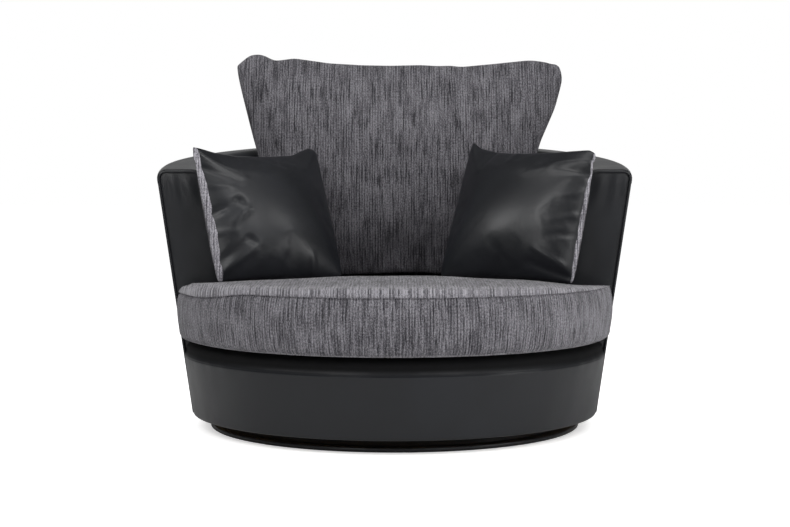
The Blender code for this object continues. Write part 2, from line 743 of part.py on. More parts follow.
def shell_frame(finishes, body):
    """The wooden inside of the wall: rail, ribs and bent panels."""
    foot = DECK_FRAME_TOP + GAP
    rail_drop = FOAM_TOP_DROP + GAP
    stations = whole_wall(FRAME_END_Y)

    def box(inset, further, bottom, drop):
        points = [floor_point(inset, bottom), rim_point(inset, drop)]
        return points + [rim_point(further, drop), floor_point(further, bottom)]

    outer = box(SKIN, PANEL_BACK, BOARD_TOP + GAP, rail_drop)
    add_object("outer_wall_panel", sweep("outer_wall_panel", outer, stations), finishes["hardboard"], body)
    inner = box(INNER_PANEL_BACK, INNER_PANEL_FACE, foot, rail_drop)
    add_object("inner_wall_panel", sweep("inner_wall_panel", inner, stations), finishes["hardboard"], body)
    near, far = PANEL_BACK + GAP, INNER_PANEL_BACK - GAP
    rail = [rim_point(near, rail_drop), rim_point(far, rail_drop)]
    rail += [rim_point(far, rail_drop + RAIL), rim_point(near, rail_drop + RAIL)]
    add_object("top_rail", sweep("top_rail", rail, stations), finishes["timber"], body)
    rib = box(near + CURVE_FIT, far - CURVE_FIT, foot, rail_drop + RAIL + 2 * GAP)
    thick = RIB / (math.pi * inner_radius(RIM_FRONT_Z))
    ribs = [("arm_rib_right", 0.0, thick), ("arm_rib_left", 1.0 - thick, 1.0)]
    for name, share in zip(("back_rib_right", "back_rib_left"), RIB_SHARES):
        ribs.append((name, share - thick / 2, share + thick / 2))
    for name, first, last in ribs:
        mesh = sweep(name, rib, [(first, FRAME_END_Y), (last, FRAME_END_Y)])
        add_object(name, mesh, finishes["timber"], body)


def shell_padding(finishes, body):
    """The foam and the covers of the wall, the flat fronts of the arms and the piping round them."""
    foot = DECK_FRAME_TOP + GAP
    foam = [rim_point(SKIN, FOAM_TOP_DROP), *over_the_top(SKIN), floor_point(INNER_FOAM_FACE, foot)]
    foam += [floor_point(INNER_FOAM_FACE - WALL_FOAM, foot)]
    foam += [rim_point(INNER_FOAM_FACE - WALL_FOAM, FOAM_TOP_DROP)]
    add_object("wall_foam", sweep("wall_foam", foam, whole_wall(FRAME_END_Y)), finishes["foam"], body)
    stations = [(0.0, ARM_PLANE_Y), *whole_wall(FRAME_END_Y), (1.0, ARM_PLANE_Y)]
    cover = [rim_point(0, SIDE_SEAM_DROP), *over_the_top(0), floor_point(WALL, foot)]
    cover += [floor_point(WALL - COVER, foot), *reversed(over_the_top(COVER))]
    cover.append(rim_point(COVER, SIDE_SEAM_DROP))
    add_object("inner_cover", sweep("inner_cover", cover, stations), finishes["black_leather"], body)
    back = [floor_point(0, BOARD_BOTTOM), rim_point(0, SIDE_SEAM_DROP + GAP)]
    back += [rim_point(COVER, SIDE_SEAM_DROP + GAP), floor_point(COVER, BOARD_BOTTOM)]
    add_object("outer_cover", sweep("outer_cover", back, stations), finishes["black_leather"], body)
    facing = [floor_point(SKIN, foot), *over_the_top(SKIN), floor_point(INNER_FOAM_FACE, foot)]
    piping_depth = PIPING_RADIUS - PIPING_PROUD
    edge = [floor_point(piping_depth, DECK_TOP + PIPING_RADIUS)]
    edge += over_the_top(piping_depth)
    edge.append(floor_point(WALL - piping_depth, DECK_TOP + PIPING_RADIUS))
    for word, share in (("right", 0.0), ("left", 1.0)):
        name = f"arm_facing_{word}"
        mesh = sweep(name, facing, [(share, ARM_PLANE_Y), (share, ARM_PLANE_Y + FACING)])
        add_object(name, mesh, finishes["black_leather"], body)
        name = f"arm_piping_{word}"
        curve = bpy.data.curves.new(name, "CURVE")
        curve.dimensions = "3D"
        curve.bevel_depth = PIPING_RADIUS
        curve.bevel_resolution = 1
        curve.use_fill_caps = True
        spline = curve.splines.new("POLY")
        spline.points.add(len(edge) - 1)
        for knot, point in zip(spline.points, edge):
            x, _, z = shell_point(point, share, ARM_PLANE_Y)
            knot.co = (x, ARM_PLANE_Y - GAP - PIPING_RADIUS, z, 1)
        add_object(name, curve, finishes["black_leather"], body)


def eased(value, first, last):
    """Rises smoothly from 0 at first to 1 at last."""
    share = min(1.0, max(0.0, (value - first) / (last - first)))
    return share**2 * (3 - 2 * share)


def seat_height(x, y):
    """The seat's top: full in front, dipped under the loose cushions and lower at its ears."""
    across = x / (outer_radius(DECK_TOP) + SEAT_OVERHANG)
    along = (y - SEAT_FULL_Y) / SEAT_FULL_REACH
    full = max(0.0, 1 - across**2) * max(0.0, 1 - along**2)
    dip = SEAT_DIP * eased(y, SEAT_DIP_START_Y, SEAT_DIP_END_Y)
    ear = SEAT_EAR_DIP * eased(abs(x), SEAT_EAR_START_X, SEAT_EAR_END_X)
    return SEAT_EDGE + SEAT_FULLNESS * full - dip - ear


def seat_cushion(finishes, body):
    """A boxed cushion with wide ears in front of the arms, soft corners and a dip under the loose cushions."""
    front = outer_radius(DECK_TOP) + SEAT_OVERHANG
    rear = inner_radius(DECK_TOP) - SEAT_SIDE_GAP
    plan = tub_plan(front, rear, ARM_PLANE_Y - SEAT_EAR_GAP, SEAT_EAR_CORNER)
    count = len(plan)
    vertices = [(0, SEAT_MIDDLE_Y, SEAT_BOTTOM)]
    for size, border, top in SEAT_RING_SHARES:
        for plan_x, plan_y in plan:
            x, y = plan_x * size, SEAT_MIDDLE_Y + (plan_y - SEAT_MIDDLE_Y) * size
            z = SEAT_BOTTOM + border * SEAT_BORDER + top * (seat_height(x, y) - SEAT_SEAM)
            vertices.append((x, y, z))
    vertices.append((0, SEAT_MIDDLE_Y, seat_height(0, SEAT_MIDDLE_Y)))
    faces = []
    for step in range(count):
        after = (step + 1) % count
        faces.append([0, 1 + after, 1 + step])
        last = 1 + (len(SEAT_RING_SHARES) - 1) * count
        faces.append([last + step, last + after, len(vertices) - 1])
        for ring in range(len(SEAT_RING_SHARES) - 1):
            low = 1 + ring * count
            faces.append([low + step, low + after, low + count + after, low + count + step])
    mesh = mesh_of("seat_cushion", vertices, faces, math.radians(60))
    add_object("seat_cushion", mesh, finishes["grey_chenille"], body)


def fullness(across, up):
    """How full a pillow is: 1 in its middle and 0 at its seam."""
    wide = 1 - abs(across) ** FULL_POWER_SHARE
    tall = 1 - abs(up) ** FULL_POWER_SHARE
    return max(0.0, wide * tall) ** FULL_ROOT_SHARE


def pressed_in(point):
    """Keeps a point of a cushion off the inside of the wall, where the real cushion is pressed flat."""
    if point.y < ARM_PLANE_Y - SEAT_EAR_GAP - PRESS_FIT or point.z > rim_at(point.y) + PRESS_FIT:
        return point
    radius = math.hypot(point.x, point.y)
    most = inner_radius(point.z) - PRESS_FIT
    if radius > most:
        point.x *= most / radius
        point.y *= most / radius
    return point


def pillow(name, columns, rows, place):
    """Two skins on one grid, sewn together along the edge. Place takes across and up, -1 to 1, and a side."""
    vertices, index = [], {}
    for side in (1, -1):
        for i in range(columns + 1):
            for j in range(rows + 1):
                edge = i in (0, columns) or j in (0, rows)
                if edge and side < 0:
                    index[side, i, j] = index[1, i, j]
                    continue
                across = math.sin(math.pi / 2 * (2 * i / columns - 1))
                up = math.sin(math.pi / 2 * (2 * j / rows - 1))
                index[side, i, j] = len(vertices)
                vertices.append(place(across, up, 0 if edge else side))
    faces = []
    for side in (1, -1):
        for i in range(columns):
            for j in range(rows):
                corners = [(i, j), (i + 1, j), (i + 1, j + 1), (i, j + 1)]
                faces.append([index[side, a, b] for a, b in corners][::side])
    return mesh_of(name, vertices, faces, math.radians(60))


def rested(point):
    """Keeps a point of a cushion on top of the seat."""
    point.z = max(point.z, seat_height(point.x, point.y) + SEAT_REST_GAP)
    return point


def back_point(across, up, side):
    """A point of the back cushion, a tall pillow, wider at the top, that leans on the rim."""
    share = (up + 1) / 2
    half = BACK_FOOT_HALF + (BACK_TOP_HALF - BACK_FOOT_HALF) * share
    half -= BACK_DRAW * (1 - up**2) + BACK_CORNER * up**8
    height = BACK_HEIGHT + BACK_EAR_LIFT * abs(across) ** 3 - BACK_CORNER * across**8 / 2
    middle = BACK_BOTTOM_Y + BACK_LEAN * share - BACK_BOW * across**2
    y = middle - side * BACK_THICKNESS / 2 * fullness(across, up)
    foot = seat_height(0, BACK_BOTTOM_Y)
    return rested(pressed_in(Vector((half * across, y, foot + height * share))))


def back_cushion(finishes, body):
    mesh = pillow("back_cushion", BACK_COLUMNS, BACK_ROWS, back_point)
    add_object("back_cushion", mesh, finishes["grey_chenille"], body)


def back_fronts():
    """How far forward the back cushion comes at each place across, at any height, so that it lifts freely."""
    points = []
    for column in range(BACK_FRONT_STEPS + 1):
        for row in range(1, BACK_FRONT_STEPS):
            across, up = (2 * step / BACK_FRONT_STEPS - 1 for step in (column, row))
            points.append(back_point(across, up, 1))
    reach = BACK_TOP_HALF / BACK_FRONT_STEPS * 3
    return [(x, min(p.y for p in points if abs(p.x - x) < reach)) for x in sorted({p.x for p in points})]


def scatter_cushion(finishes, body, word, width, foot_x, hand):
    """A square pillow with pointed corners, turned towards the middle of the seat and leaning back."""
    foot_yaw, top_yaw = hand * SCATTER_FOOT_YAW, hand * SCATTER_TOP_YAW
    foot_axis = Vector((math.cos(foot_yaw), math.sin(foot_yaw), 0))
    top_axis = Vector((math.cos(top_yaw), math.sin(top_yaw), 0))
    foot = Vector((foot_x, SCATTER_FOOT_Y, seat_height(foot_x, SCATTER_FOOT_Y) - SCATTER_SINK))
    rise = Vector((-hand * SCATTER_TOP_OUT, SCATTER_TOP_BACK, SCATTER_RISE))
    front_axis = (foot_axis + top_axis).cross(rise).normalized()
    fronts = back_fronts()

    def place(across, up, side):
        share = (up + 1) / 2
        wide = across * (width / 2 - SCATTER_TAPER * (1 - share) - SCATTER_DRAW * (1 - up**2))
        axis = foot_axis.lerp(top_axis, share)
        tall = share - up * SCATTER_DRAW / SCATTER_RISE * (1 - across**2)
        depth = side * SCATTER_THICKNESS / 2 * fullness(across, up)
        point = foot + wide * axis + tall * rise + depth * front_axis
        nearest = min(fronts, key=lambda front: abs(front[0] - point.x))
        if abs(point.x) < BACK_TOP_HALF:
            point.y = min(point.y, nearest[1] - SCATTER_BACK_GAP)
        return rested(pressed_in(point))

    name = f"scatter_cushion_{word}"
    mesh = pillow(name, SCATTER_SIDES, SCATTER_SIDES, place)
    add_object(name, mesh, finishes["black_leather"], body)


def main():
    clear_scene()
    finishes = {
        "black_leather": finish("black faux leather", (0.030, 0.030, 0.032), 0.42),
        "grey_chenille": finish("grey corded chenille", (0.16, 0.155, 0.165), 0.95),
        "black_cloth": finish("black platform cloth", (0.02, 0.02, 0.021), 0.9),
        "board": finish("plywood board", (0.42, 0.28, 0.15), 0.7),
        "timber": finish("softwood timber", (0.52, 0.36, 0.19), 0.65),
        "hardboard": finish("bent hardboard", (0.25, 0.15, 0.08), 0.75),
        "foam": finish("cut foam", (0.75, 0.70, 0.52), 0.95),
        "felt": finish("grey felt pad", (0.25, 0.25, 0.26), 1.0),
        "steel": finish("pressed steel", (0.52, 0.52, 0.53), 0.35, 1.0),
        "zinc": finish("zinc-plated steel", (0.62, 0.62, 0.60), 0.4, 1.0),
        "nylon": finish("white nylon", (0.78, 0.77, 0.72), 0.5),
        "black_plastic": finish("black plastic glide", (0.015, 0.015, 0.016), 0.45),
    }
    plinth_body = empty_at("plinth_frame", (0, 0, 0))
    cage_body = empty_at("cage_axis", (0, 0, 0), plinth_body)
    seat_body = empty_at("swivel_axis", (0, 0, 0), plinth_body)
    seat_cushion_body = empty_at("seat_cushion_lift", (0, 0, 0), seat_body)
    back_cushion_body = empty_at("back_cushion_lift", (0, 0, 0), seat_cushion_body)
    scatter_left_body = empty_at("scatter_left_lift", (0, 0, 0), seat_cushion_body)
    scatter_right_body = empty_at("scatter_right_lift", (0, 0, 0), seat_cushion_body)
    plinth(finishes, plinth_body)
    bearing_unit(finishes, plinth_body, cage_body, seat_body)
    centre_pin(finishes, plinth_body, seat_body)
    base_box(finishes, seat_body)
    base_front(finishes, seat_body)
    seat_deck(finishes, seat_body)
    shell_frame(finishes, seat_body)
    shell_padding(finishes, seat_body)
    seat_cushion(finishes, seat_cushion_body)
    back_cushion(finishes, back_cushion_body)
    scatter_cushion(finishes, scatter_left_body, "left", SCATTER_LEFT_WIDTH, SCATTER_LEFT_X, 1)
    scatter_cushion(finishes, scatter_right_body, "right", SCATTER_RIGHT_WIDTH, SCATTER_RIGHT_X, -1)


main()
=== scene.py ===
"""Dresses the frame of a two-seater swivel tub chair: covers, cushions, finishes and a plain stage.

Metres, +Z up. The swivel axis is the Z axis and the sitter faces -Y. A bearing is an angle round
the Z axis from +X towards +Y. An inset is a level distance in from the shell's outer face, which
is part of a cone.
"""

import json
import math

import bpy
import numpy as np
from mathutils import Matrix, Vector, noise


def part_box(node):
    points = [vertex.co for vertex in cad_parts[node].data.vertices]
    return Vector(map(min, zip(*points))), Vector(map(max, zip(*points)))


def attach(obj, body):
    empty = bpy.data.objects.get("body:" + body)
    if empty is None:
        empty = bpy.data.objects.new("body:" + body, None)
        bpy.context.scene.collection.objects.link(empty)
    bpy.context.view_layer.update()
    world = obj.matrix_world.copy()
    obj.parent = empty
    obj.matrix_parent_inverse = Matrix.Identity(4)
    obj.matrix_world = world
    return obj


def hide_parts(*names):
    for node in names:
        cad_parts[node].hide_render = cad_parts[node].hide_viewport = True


bl_info = {
    "name": "Swivel Tub Chair",
    "version": (1, 0, 0),
    "blender": (4, 5, 0),
    "location": "3D View > Sidebar > Tub Chair",
    "description": "Covers, cushions and stage for a two-seater swivel tub chair",
    "category": "Object",
}

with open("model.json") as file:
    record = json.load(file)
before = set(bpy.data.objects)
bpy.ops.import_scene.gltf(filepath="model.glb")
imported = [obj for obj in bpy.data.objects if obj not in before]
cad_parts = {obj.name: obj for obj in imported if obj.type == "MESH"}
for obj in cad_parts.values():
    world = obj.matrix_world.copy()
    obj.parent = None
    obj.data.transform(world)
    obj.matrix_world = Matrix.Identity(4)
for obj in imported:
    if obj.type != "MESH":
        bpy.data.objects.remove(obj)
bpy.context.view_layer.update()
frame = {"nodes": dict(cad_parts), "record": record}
deck_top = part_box("platform_cloth")[1].z
deck_frame_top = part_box("deck_frame")[1].z
board_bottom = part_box("base_board")[0].z
hem = board_bottom - 0.0013
TAU = 2 * math.pi
SENSOR_WIDTH = 36.0

# Roughly the length of the wall's round, for the noise and the seams along it
ROUND_LENGTH = 2.3

# Half the width of the groove along an upright seam
SEAM_WIDTH = 0.0032

# How far below its seam the drum's cover begins to turn in
SEAM_LIP = 0.004

# How far the piping and the drum's cover stand in front of the arms' plane
BEFORE_ARMS = 0.0003

# Insets at the deck's front: the end of the drum's cover, of its padding, and the deck's own edge
COVER_END = 0.0762
PADDING_END = 0.0740
DECK_EDGE = 0.0766

# Mean radius of the seat's border, which turns a bearing into a length along it
BORDER_RADIUS = 0.57


# Settings


class ShellSettings(bpy.types.PropertyGroup):
    """Sizes of the round shell."""

    foot_radius: bpy.props.FloatProperty(
        name="Foot radius", default=0.531, unit="LENGTH",
        description="Outer radius at the shell's lower edge",
    )
    flare: bpy.props.FloatProperty(
        name="Flare", default=0.1425,
        description="How far the outer face leans out for each metre of height",
    )
    wall: bpy.props.FloatProperty(
        name="Wall", default=0.125, unit="LENGTH",
        description="Level thickness of the padded wall",
    )
    arm_plane: bpy.props.FloatProperty(
        name="Arm fronts", default=-0.085, unit="LENGTH",
        description="Where the flat fronts of the arms stand, along Y",
    )
    rim_front: bpy.props.FloatProperty(
        name="Rim height", default=0.6695, unit="LENGTH",
        description="Height of the rim at the arms' fronts",
    )
    rim_slope: bpy.props.FloatProperty(
        name="Rim slope", default=0.114,
        description="How far the rim climbs for each metre towards the back",
    )
    outer_corner: bpy.props.FloatProperty(
        name="Outer corner", default=0.025, unit="LENGTH",
        description="Radius of the rim's outer edge",
    )
    inner_corner: bpy.props.FloatProperty(
        name="Inner corner", default=0.036, unit="LENGTH",
        description="Radius of the rim's inner edge",
    )
    side_seam_drop: bpy.props.FloatProperty(
        name="Side seam", default=0.036, unit="LENGTH",
        description="How far the outer seam runs below the rim",
    )
    leather: bpy.props.FloatProperty(
        name="Leather", default=0.0026, unit="LENGTH",
        description="Thickness of the faux leather with its backing",
    )
    piping_radius: bpy.props.FloatProperty(
        name="Piping", default=0.0036, unit="LENGTH",
        description="Radius of the piping round the arms' fronts",
    )
    front_seam_height: bpy.props.FloatProperty(
        name="Front seam", default=0.194, unit="LENGTH",
        description="Height of the seam along the drum's front",
    )
    slackness: bpy.props.FloatProperty(
        name="Slackness", default=0.0011, unit="LENGTH",
        description="How far the covers stray from the shell's true shape",
    )


class CushionSettings(bpy.types.PropertyGroup):
    """Sizes of the loose cushions."""

    seat_border: bpy.props.FloatProperty(
        name="Seat border", default=0.1385, unit="LENGTH",
        description="Height of the seat's side, up to the seam",
    )
    seat_roll: bpy.props.FloatProperty(
        name="Seat edge", default=0.0225, unit="LENGTH",
        description="Radius of the seat's soft upper edge",
    )
    seat_foot_corner: bpy.props.FloatProperty(
        name="Seat foot corner", default=0.026, unit="LENGTH",
        description="Radius of the seat's lower edge",
    )
    seat_overhang: bpy.props.FloatProperty(
        name="Seat overhang", default=0.012, unit="LENGTH",
        description="How far the seat stands out over the drum",
    )
    back_thickness: bpy.props.FloatProperty(
        name="Back thickness", default=0.245, unit="LENGTH",
        description="Thickness of the back cushion in its middle",
    )
    scatter_thickness: bpy.props.FloatProperty(
        name="Scatter thickness", default=0.150, unit="LENGTH",
        description="Thickness of a scatter cushion in its middle",
    )
    air_pressure: bpy.props.FloatProperty(
        name="Filling", default=6.0,
        description="Pressure that fills the sewn covers",
    )


class FinishSettings(bpy.types.PropertyGroup):
    """Colours and textures."""

    leather_colour: bpy.props.FloatVectorProperty(
        name="Leather", default=(0.0062, 0.0070, 0.0092), subtype="COLOR",
        description="Colour of the black faux leather",
    )
    leather_roughness: bpy.props.FloatProperty(
        name="Leather roughness", default=0.36, subtype="FACTOR",
        description="How dull the faux leather is",
    )
    cord_dark: bpy.props.FloatVectorProperty(
        name="Cord grooves", default=(0.020, 0.019, 0.024), subtype="COLOR",
        description="Colour between the cloth's ribs",
    )
    cord_middle: bpy.props.FloatVectorProperty(
        name="Cord", default=(0.140, 0.135, 0.150), subtype="COLOR",
        description="Main colour of the corded chenille",
    )
    cord_light: bpy.props.FloatVectorProperty(
        name="Cord nap", default=(0.30, 0.292, 0.315), subtype="COLOR",
        description="Colour where the pile catches the light",
    )
    rib_pitch: bpy.props.FloatProperty(
        name="Rib pitch", default=0.0072, unit="LENGTH",
        description="Distance from rib to rib",
    )


class StageSettings(bpy.types.PropertyGroup):
    """The camera and the light."""

    camera_distance: bpy.props.FloatProperty(
        name="Camera distance", default=4.63, unit="LENGTH",
        description="From the swivel axis to the camera",
    )
    camera_height: bpy.props.FloatProperty(
        name="Camera height", default=0.71, unit="LENGTH",
        description="Height of the camera over the floor",
    )
    camera_dip: bpy.props.FloatProperty(
        name="Camera dip", default=math.radians(3.54), subtype="ANGLE",
        description="How far the camera looks down",
    )
    lens: bpy.props.FloatProperty(
        name="Lens", default=80.0,
        description="Focal length on a sensor 36 mm wide, in millimetres",
    )
    background: bpy.props.FloatProperty(
        name="Background", default=1.0,
        description="Brightness of the white background",
    )
    surroundings: bpy.props.FloatProperty(
        name="Surroundings", default=0.07,
        description="Brightness of the light from all round",
    )
    reflected: bpy.props.FloatProperty(
        name="Reflected", default=0.04,
        description="Share of the white background that glossy finishes show",
    )


class ChairSettings(bpy.types.PropertyGroup):
    """Everything that the operators read."""

    shell: bpy.props.PointerProperty(
        type=ShellSettings, name="Shell",
        description="Sizes of the shell",
    )
    cushions: bpy.props.PointerProperty(
        type=CushionSettings, name="Cushions",
        description="Sizes of the cushions",
    )
    finishes: bpy.props.PointerProperty(
        type=FinishSettings, name="Finishes",
        description="Colours and textures",
    )
    stage: bpy.props.PointerProperty(
        type=StageSettings, name="Stage",
        description="Camera and light",
    )


def chosen():
    return bpy.context.scene.tub_chair


# Shader maths


class Wire:
    """One output of a shader node. Sums on it add Math nodes."""

    def __init__(self, finish, socket):
        self.finish, self.socket = finish, socket

    def maths(self, operation, *values):
        inputs = dict(enumerate(values))
        return self.finish.node("ShaderNodeMath", {"operation": operation}, inputs)

    def __add__(self, other):
        return self.maths("ADD", self, other)

    __radd__ = __add__

    def __sub__(self, other):
        return self.maths("SUBTRACT", self, other)

    def __rsub__(self, other):
        return self.maths("SUBTRACT", other, self)

    def __mul__(self, other):
        return self.maths("MULTIPLY", self, other)

    __rmul__ = __mul__

    def __pow__(self, other):
        return self.maths("POWER", self, other)

    def __abs__(self):
        return self.maths("ABSOLUTE", self)


class Finish:
    """One material. Every node but its shader comes from the node method."""

    def __init__(self, name, **sockets):
        self.material = bpy.data.materials.new(name)
        self.material.use_nodes = True
        self.tree = self.material.node_tree
        self.shader = self.tree.nodes["Principled BSDF"]
        for key, value in sockets.items():
            self.shader.inputs[key.replace("_", " ")].default_value = value
        self.place = self.node("ShaderNodeTexCoord", out="Object")

    def node(self, kind, settings=None, inputs=None, out=0):
        """Adds a node: its settings first, then its sockets' values or links. Gives one output."""
        made = self.tree.nodes.new(kind)
        for key, value in (settings or {}).items():
            if key == "stops":
                elements = made.color_ramp.elements
                elements[0].position, elements[-1].position = value[0][0], value[-1][0]
                for at, _ in value[1:-1]:
                    elements.new(at)
                for element, (_, colour) in zip(elements, value):
                    element.color = (*colour, 1.0)
            else:
                setattr(made, key, value)
        for key, value in (inputs or {}).items():
            if isinstance(value, Wire):
                self.tree.links.new(value.socket, made.inputs[key])
            else:
                made.inputs[key].default_value = value
        return Wire(self, made.outputs[out])

    def feed(self, **wires):
        """Links wires to the shader's sockets."""
        for key, wire in wires.items():
            self.tree.links.new(wire.socket, self.shader.inputs[key.replace("_", " ")])

    def split(self, vector):
        made = self.node("ShaderNodeSeparateXYZ", inputs={0: vector})
        return [Wire(self, output) for output in made.socket.node.outputs]

    def joined(self, x, y, z=0.0):
        return self.node("ShaderNodeCombineXYZ", inputs={0: x, 1: y, 2: z})

    def stretched(self, vector, scale):
        return self.node("ShaderNodeVectorMath", {"operation": "MULTIPLY"}, {0: vector, 1: scale})

    def cloudy(self, vector, scale=1.0, detail=2.0, roughness=0.5, flat=False):
        settings = {"noise_dimensions": "2D" if flat else "3D"}
        inputs = {"Vector": vector, "Scale": scale, "Detail": detail, "Roughness": roughness}
        return self.node("ShaderNodeTexNoise", settings, inputs)

    def between(self, factor, first, second):
        """Mixes two colours."""
        inputs = {0: factor}
        for key, value in ((6, first), (7, second)):
            inputs[key] = value if isinstance(value, Wire) else (*value, 1.0)
        return self.node("ShaderNodeMix", {"data_type": "RGBA"}, inputs, out=2)

    def ramp(self, factor, stops):
        return self.node("ShaderNodeValToRGB", {"stops": stops}, {0: factor})

    def step(self, value, low, high):
        """Rises smoothly from 0 at low to 1 at high."""
        settings = {"interpolation_type": "SMOOTHSTEP"}
        return self.node("ShaderNodeMapRange", settings, {0: value, 1: low, 2: high})

    def bump(self, height, distance, strength=1.0, normal=None):
        inputs = {"Height": height, "Distance": distance, "Strength": strength}
        if normal:
            inputs["Normal"] = normal
        return self.node("ShaderNodeBump", inputs=inputs)


made_finishes = {}


def once(function):
    """Keeps the material that a finish function makes, so that pieces share it."""

    def keeper(*names):
        key = (function.__name__, *names)
        if key not in made_finishes:
            made_finishes[key] = function(*names)
        return made_finishes[key]

    return keeper


def creased(finish, fine=None):
    """Faint creases in leather, over a finer relief where there is one."""
    crease = finish.cloudy(finish.place, 55.0, 5.0, 0.6)
    finish.feed(Normal=finish.bump(crease, 0.0006, 0.28, fine))


@once
def black_leather():
    """Smooth black faux leather with a fine pebble, faint creases and a satin shine."""
    tone = chosen().finishes
    finish = Finish("black faux leather", Coat_Weight=0.22, Coat_Roughness=0.28, Specular_IOR_Level=0.33)
    wear = finish.cloudy(finish.place, 5.0, 3.0, 0.55)
    pebble = finish.node(
        "ShaderNodeTexVoronoi", {"feature": "DISTANCE_TO_EDGE"}, {"Vector": finish.place, "Scale": 620.0}
    )
    dark = tuple(tone.leather_colour)
    worn = tuple(1.5 * value for value in dark)
    finish.feed(
        Base_Color=finish.between(finish.step(wear, 0.45, 0.75), dark, worn),
        Roughness=tone.leather_roughness - 0.04 + 0.14 * finish.step(wear, 0.3, 0.7),
    )
    creased(finish, finish.bump(finish.step(pebble, 0.0, 0.12), 0.00005, 0.55))
    return finish.material


@once
def tucked_leather_painted_shade():
    """The faux leather where it turns in under the seat, dulled above its seam, and darkened there with
    painted shade.
    """
    finish = Finish("black faux leather, tucked in, painted shade", Coat_Roughness=0.26, Specular_IOR_Level=0.22)
    _, _, z = finish.split(finish.place)
    seam = chosen().shell.front_seam_height
    # Painted shade: the colour falls to under a fifth of the leather's above the seam, under the seat's
    # overhang.
    tucked = finish.step(z, seam - SEAM_LIP, seam + 0.014)
    dark = tuple(chosen().finishes.leather_colour)
    finish.feed(
        Base_Color=finish.between(tucked, dark, tuple(0.18 * value for value in dark)),
        Roughness=0.36 + 0.5 * tucked,
        Coat_Weight=0.15 - 0.15 * tucked,
    )
    creased(finish)
    return finish.material


def chenille(part, sheen):
    """A new finish for one part of the cloth, dull and with its own sheen."""
    return Finish("grey corded chenille" + part, Roughness=0.95, Specular_IOR_Level=0.15, Sheen_Weight=sheen)


def cord(finish, across, along, nap=1.0, painted_light=0.0):
    """Ribs of broken chenille tufts, in dark streaks and lighter patches. The nap factor scales every colour
    and the last argument shifts the pile, both painted light and shade: lighter and darker copies of one
    cloth.
    """

    def flecks(per_metre_across, per_metre_along, detail, roughness=0.6):
        spot = finish.joined(across * per_metre_across, along * per_metre_along)
        return finish.cloudy(spot, detail=detail, roughness=roughness, flat=True)

    tone = chosen().finishes
    wobble = flecks(18.0, 9.0, 2.0, 0.5)
    phase = (across + 0.004 * wobble) * (TAU / tone.rib_pitch)
    rib = 0.5 + 0.5 * phase.maths("SINE", phase)
    tuft = flecks(340.0, 200.0, 3.0)
    thread = flecks(250.0, 13.0, 4.0)
    streak = flecks(80.0, 9.0, 3.0)
    patch = flecks(22.0, 15.0, 4.0, 0.65)
    fuzz = flecks(900.0, 800.0, 1.0, 0.5)
    gaps = finish.step(thread, 0.36, 0.47) * (0.6 + 0.4 * finish.step(streak, 0.34, 0.50))
    # The last term of the pile, and the nap factor on every colour below, are painted light and shade.
    pile = 0.15 * rib + 0.85 * tuft + 0.32 * gaps + 0.36 * patch + 0.75 * fuzz + painted_light
    stops = [
        (at, tuple(nap * dimmed * value for value in colour))
        for at, dimmed, colour in (
            (0.0, 1.0, tone.cord_dark),
            (0.36, 0.52, tone.cord_middle),
            (0.60, 1.0, tone.cord_middle),
            (1.0, 1.0, tone.cord_light),
        )
    ]
    finish.feed(Base_Color=finish.ramp(finish.step(pile, 0.80, 1.76), stops))
    height = 0.45 * rib + 1.0 * tuft + 0.6 * gaps + 0.5 * fuzz
    finish.feed(Normal=finish.bump(height, 0.0013, 0.75))


@once
def upright_cord():
    """Chenille whose ribs run up the cushion, as a darker copy of the cloth than on the seat: painted shade.
    """
    finish = chenille("", 0.10)
    x, _, z = finish.split(finish.place)
    cord(finish, x, z, 0.85)
    return finish.material


@once
def turned_cord():
    """Chenille at the turned edge of a scatter cushion, a copy of the cloth painted lighter as a highlight.
    """
    finish = chenille(", turned edge", 0.3)
    x, _, z = finish.split(finish.place)
    cord(finish, x, z, 2.0)
    return finish.material


@once
def flat_cord():
    """Chenille whose ribs run from back to front over the seat, as a lighter copy of the cloth: painted
    light, with a painted highlight along its outer edge and painted shade further in.
    """
    finish = chenille(", seat top", 0.25)
    x, y, z = finish.split(finish.place)
    # Painted highlight towards the seat's outer edge, painted shade inside it.
    edge = finish.step((x * x + y * y) ** 0.5, 0.47, 0.56)
    cord(finish, x, y - z, 1.32, 0.17 * edge - 0.08)
    return finish.material


@once
def round_cord():
    """Chenille whose ribs stand up round the seat's border, as a lighter copy of the cloth: painted light,
    lighter still towards its right and a little towards its left, with painted shade in between.
    """
    finish = chenille(", seat border", 0.15)
    x, y, z = finish.split(finish.place)
    bearing = x.maths("ARCTAN2", x, 0.0 - y)
    # Painted light towards the border's right end and, less, its left end; painted shade across its front.
    right, left = finish.step(bearing, 0.3, 1.3), finish.step(0.0 - bearing, 0.6, 1.5)
    cord(finish, bearing * BORDER_RADIUS, z, 1.23, 0.14 * right + 0.05 * left - 0.04)
    return finish.material


@once
def black_cloth():
    """Woven black platform cloth."""
    finish = Finish("black platform cloth", Roughness=0.95, Specular_IOR_Level=0.12, Sheen_Weight=0.03)
    thread_turn = TAU / 0.0011
    x, y, _ = finish.split(finish.place)
    warp = x.maths("SINE", x * thread_turn)
    weft = y.maths("SINE", y * thread_turn)
    dust = finish.step(finish.cloudy(finish.place, 9.0, 4.0, 0.6), 0.4, 0.8)
    finish.feed(
        Base_Color=finish.between(dust, (0.0030, 0.0030, 0.0034), (0.0075, 0.0073, 0.0075)),
        Normal=finish.bump(warp * weft, 0.0003, 0.6),
    )
    return finish.material


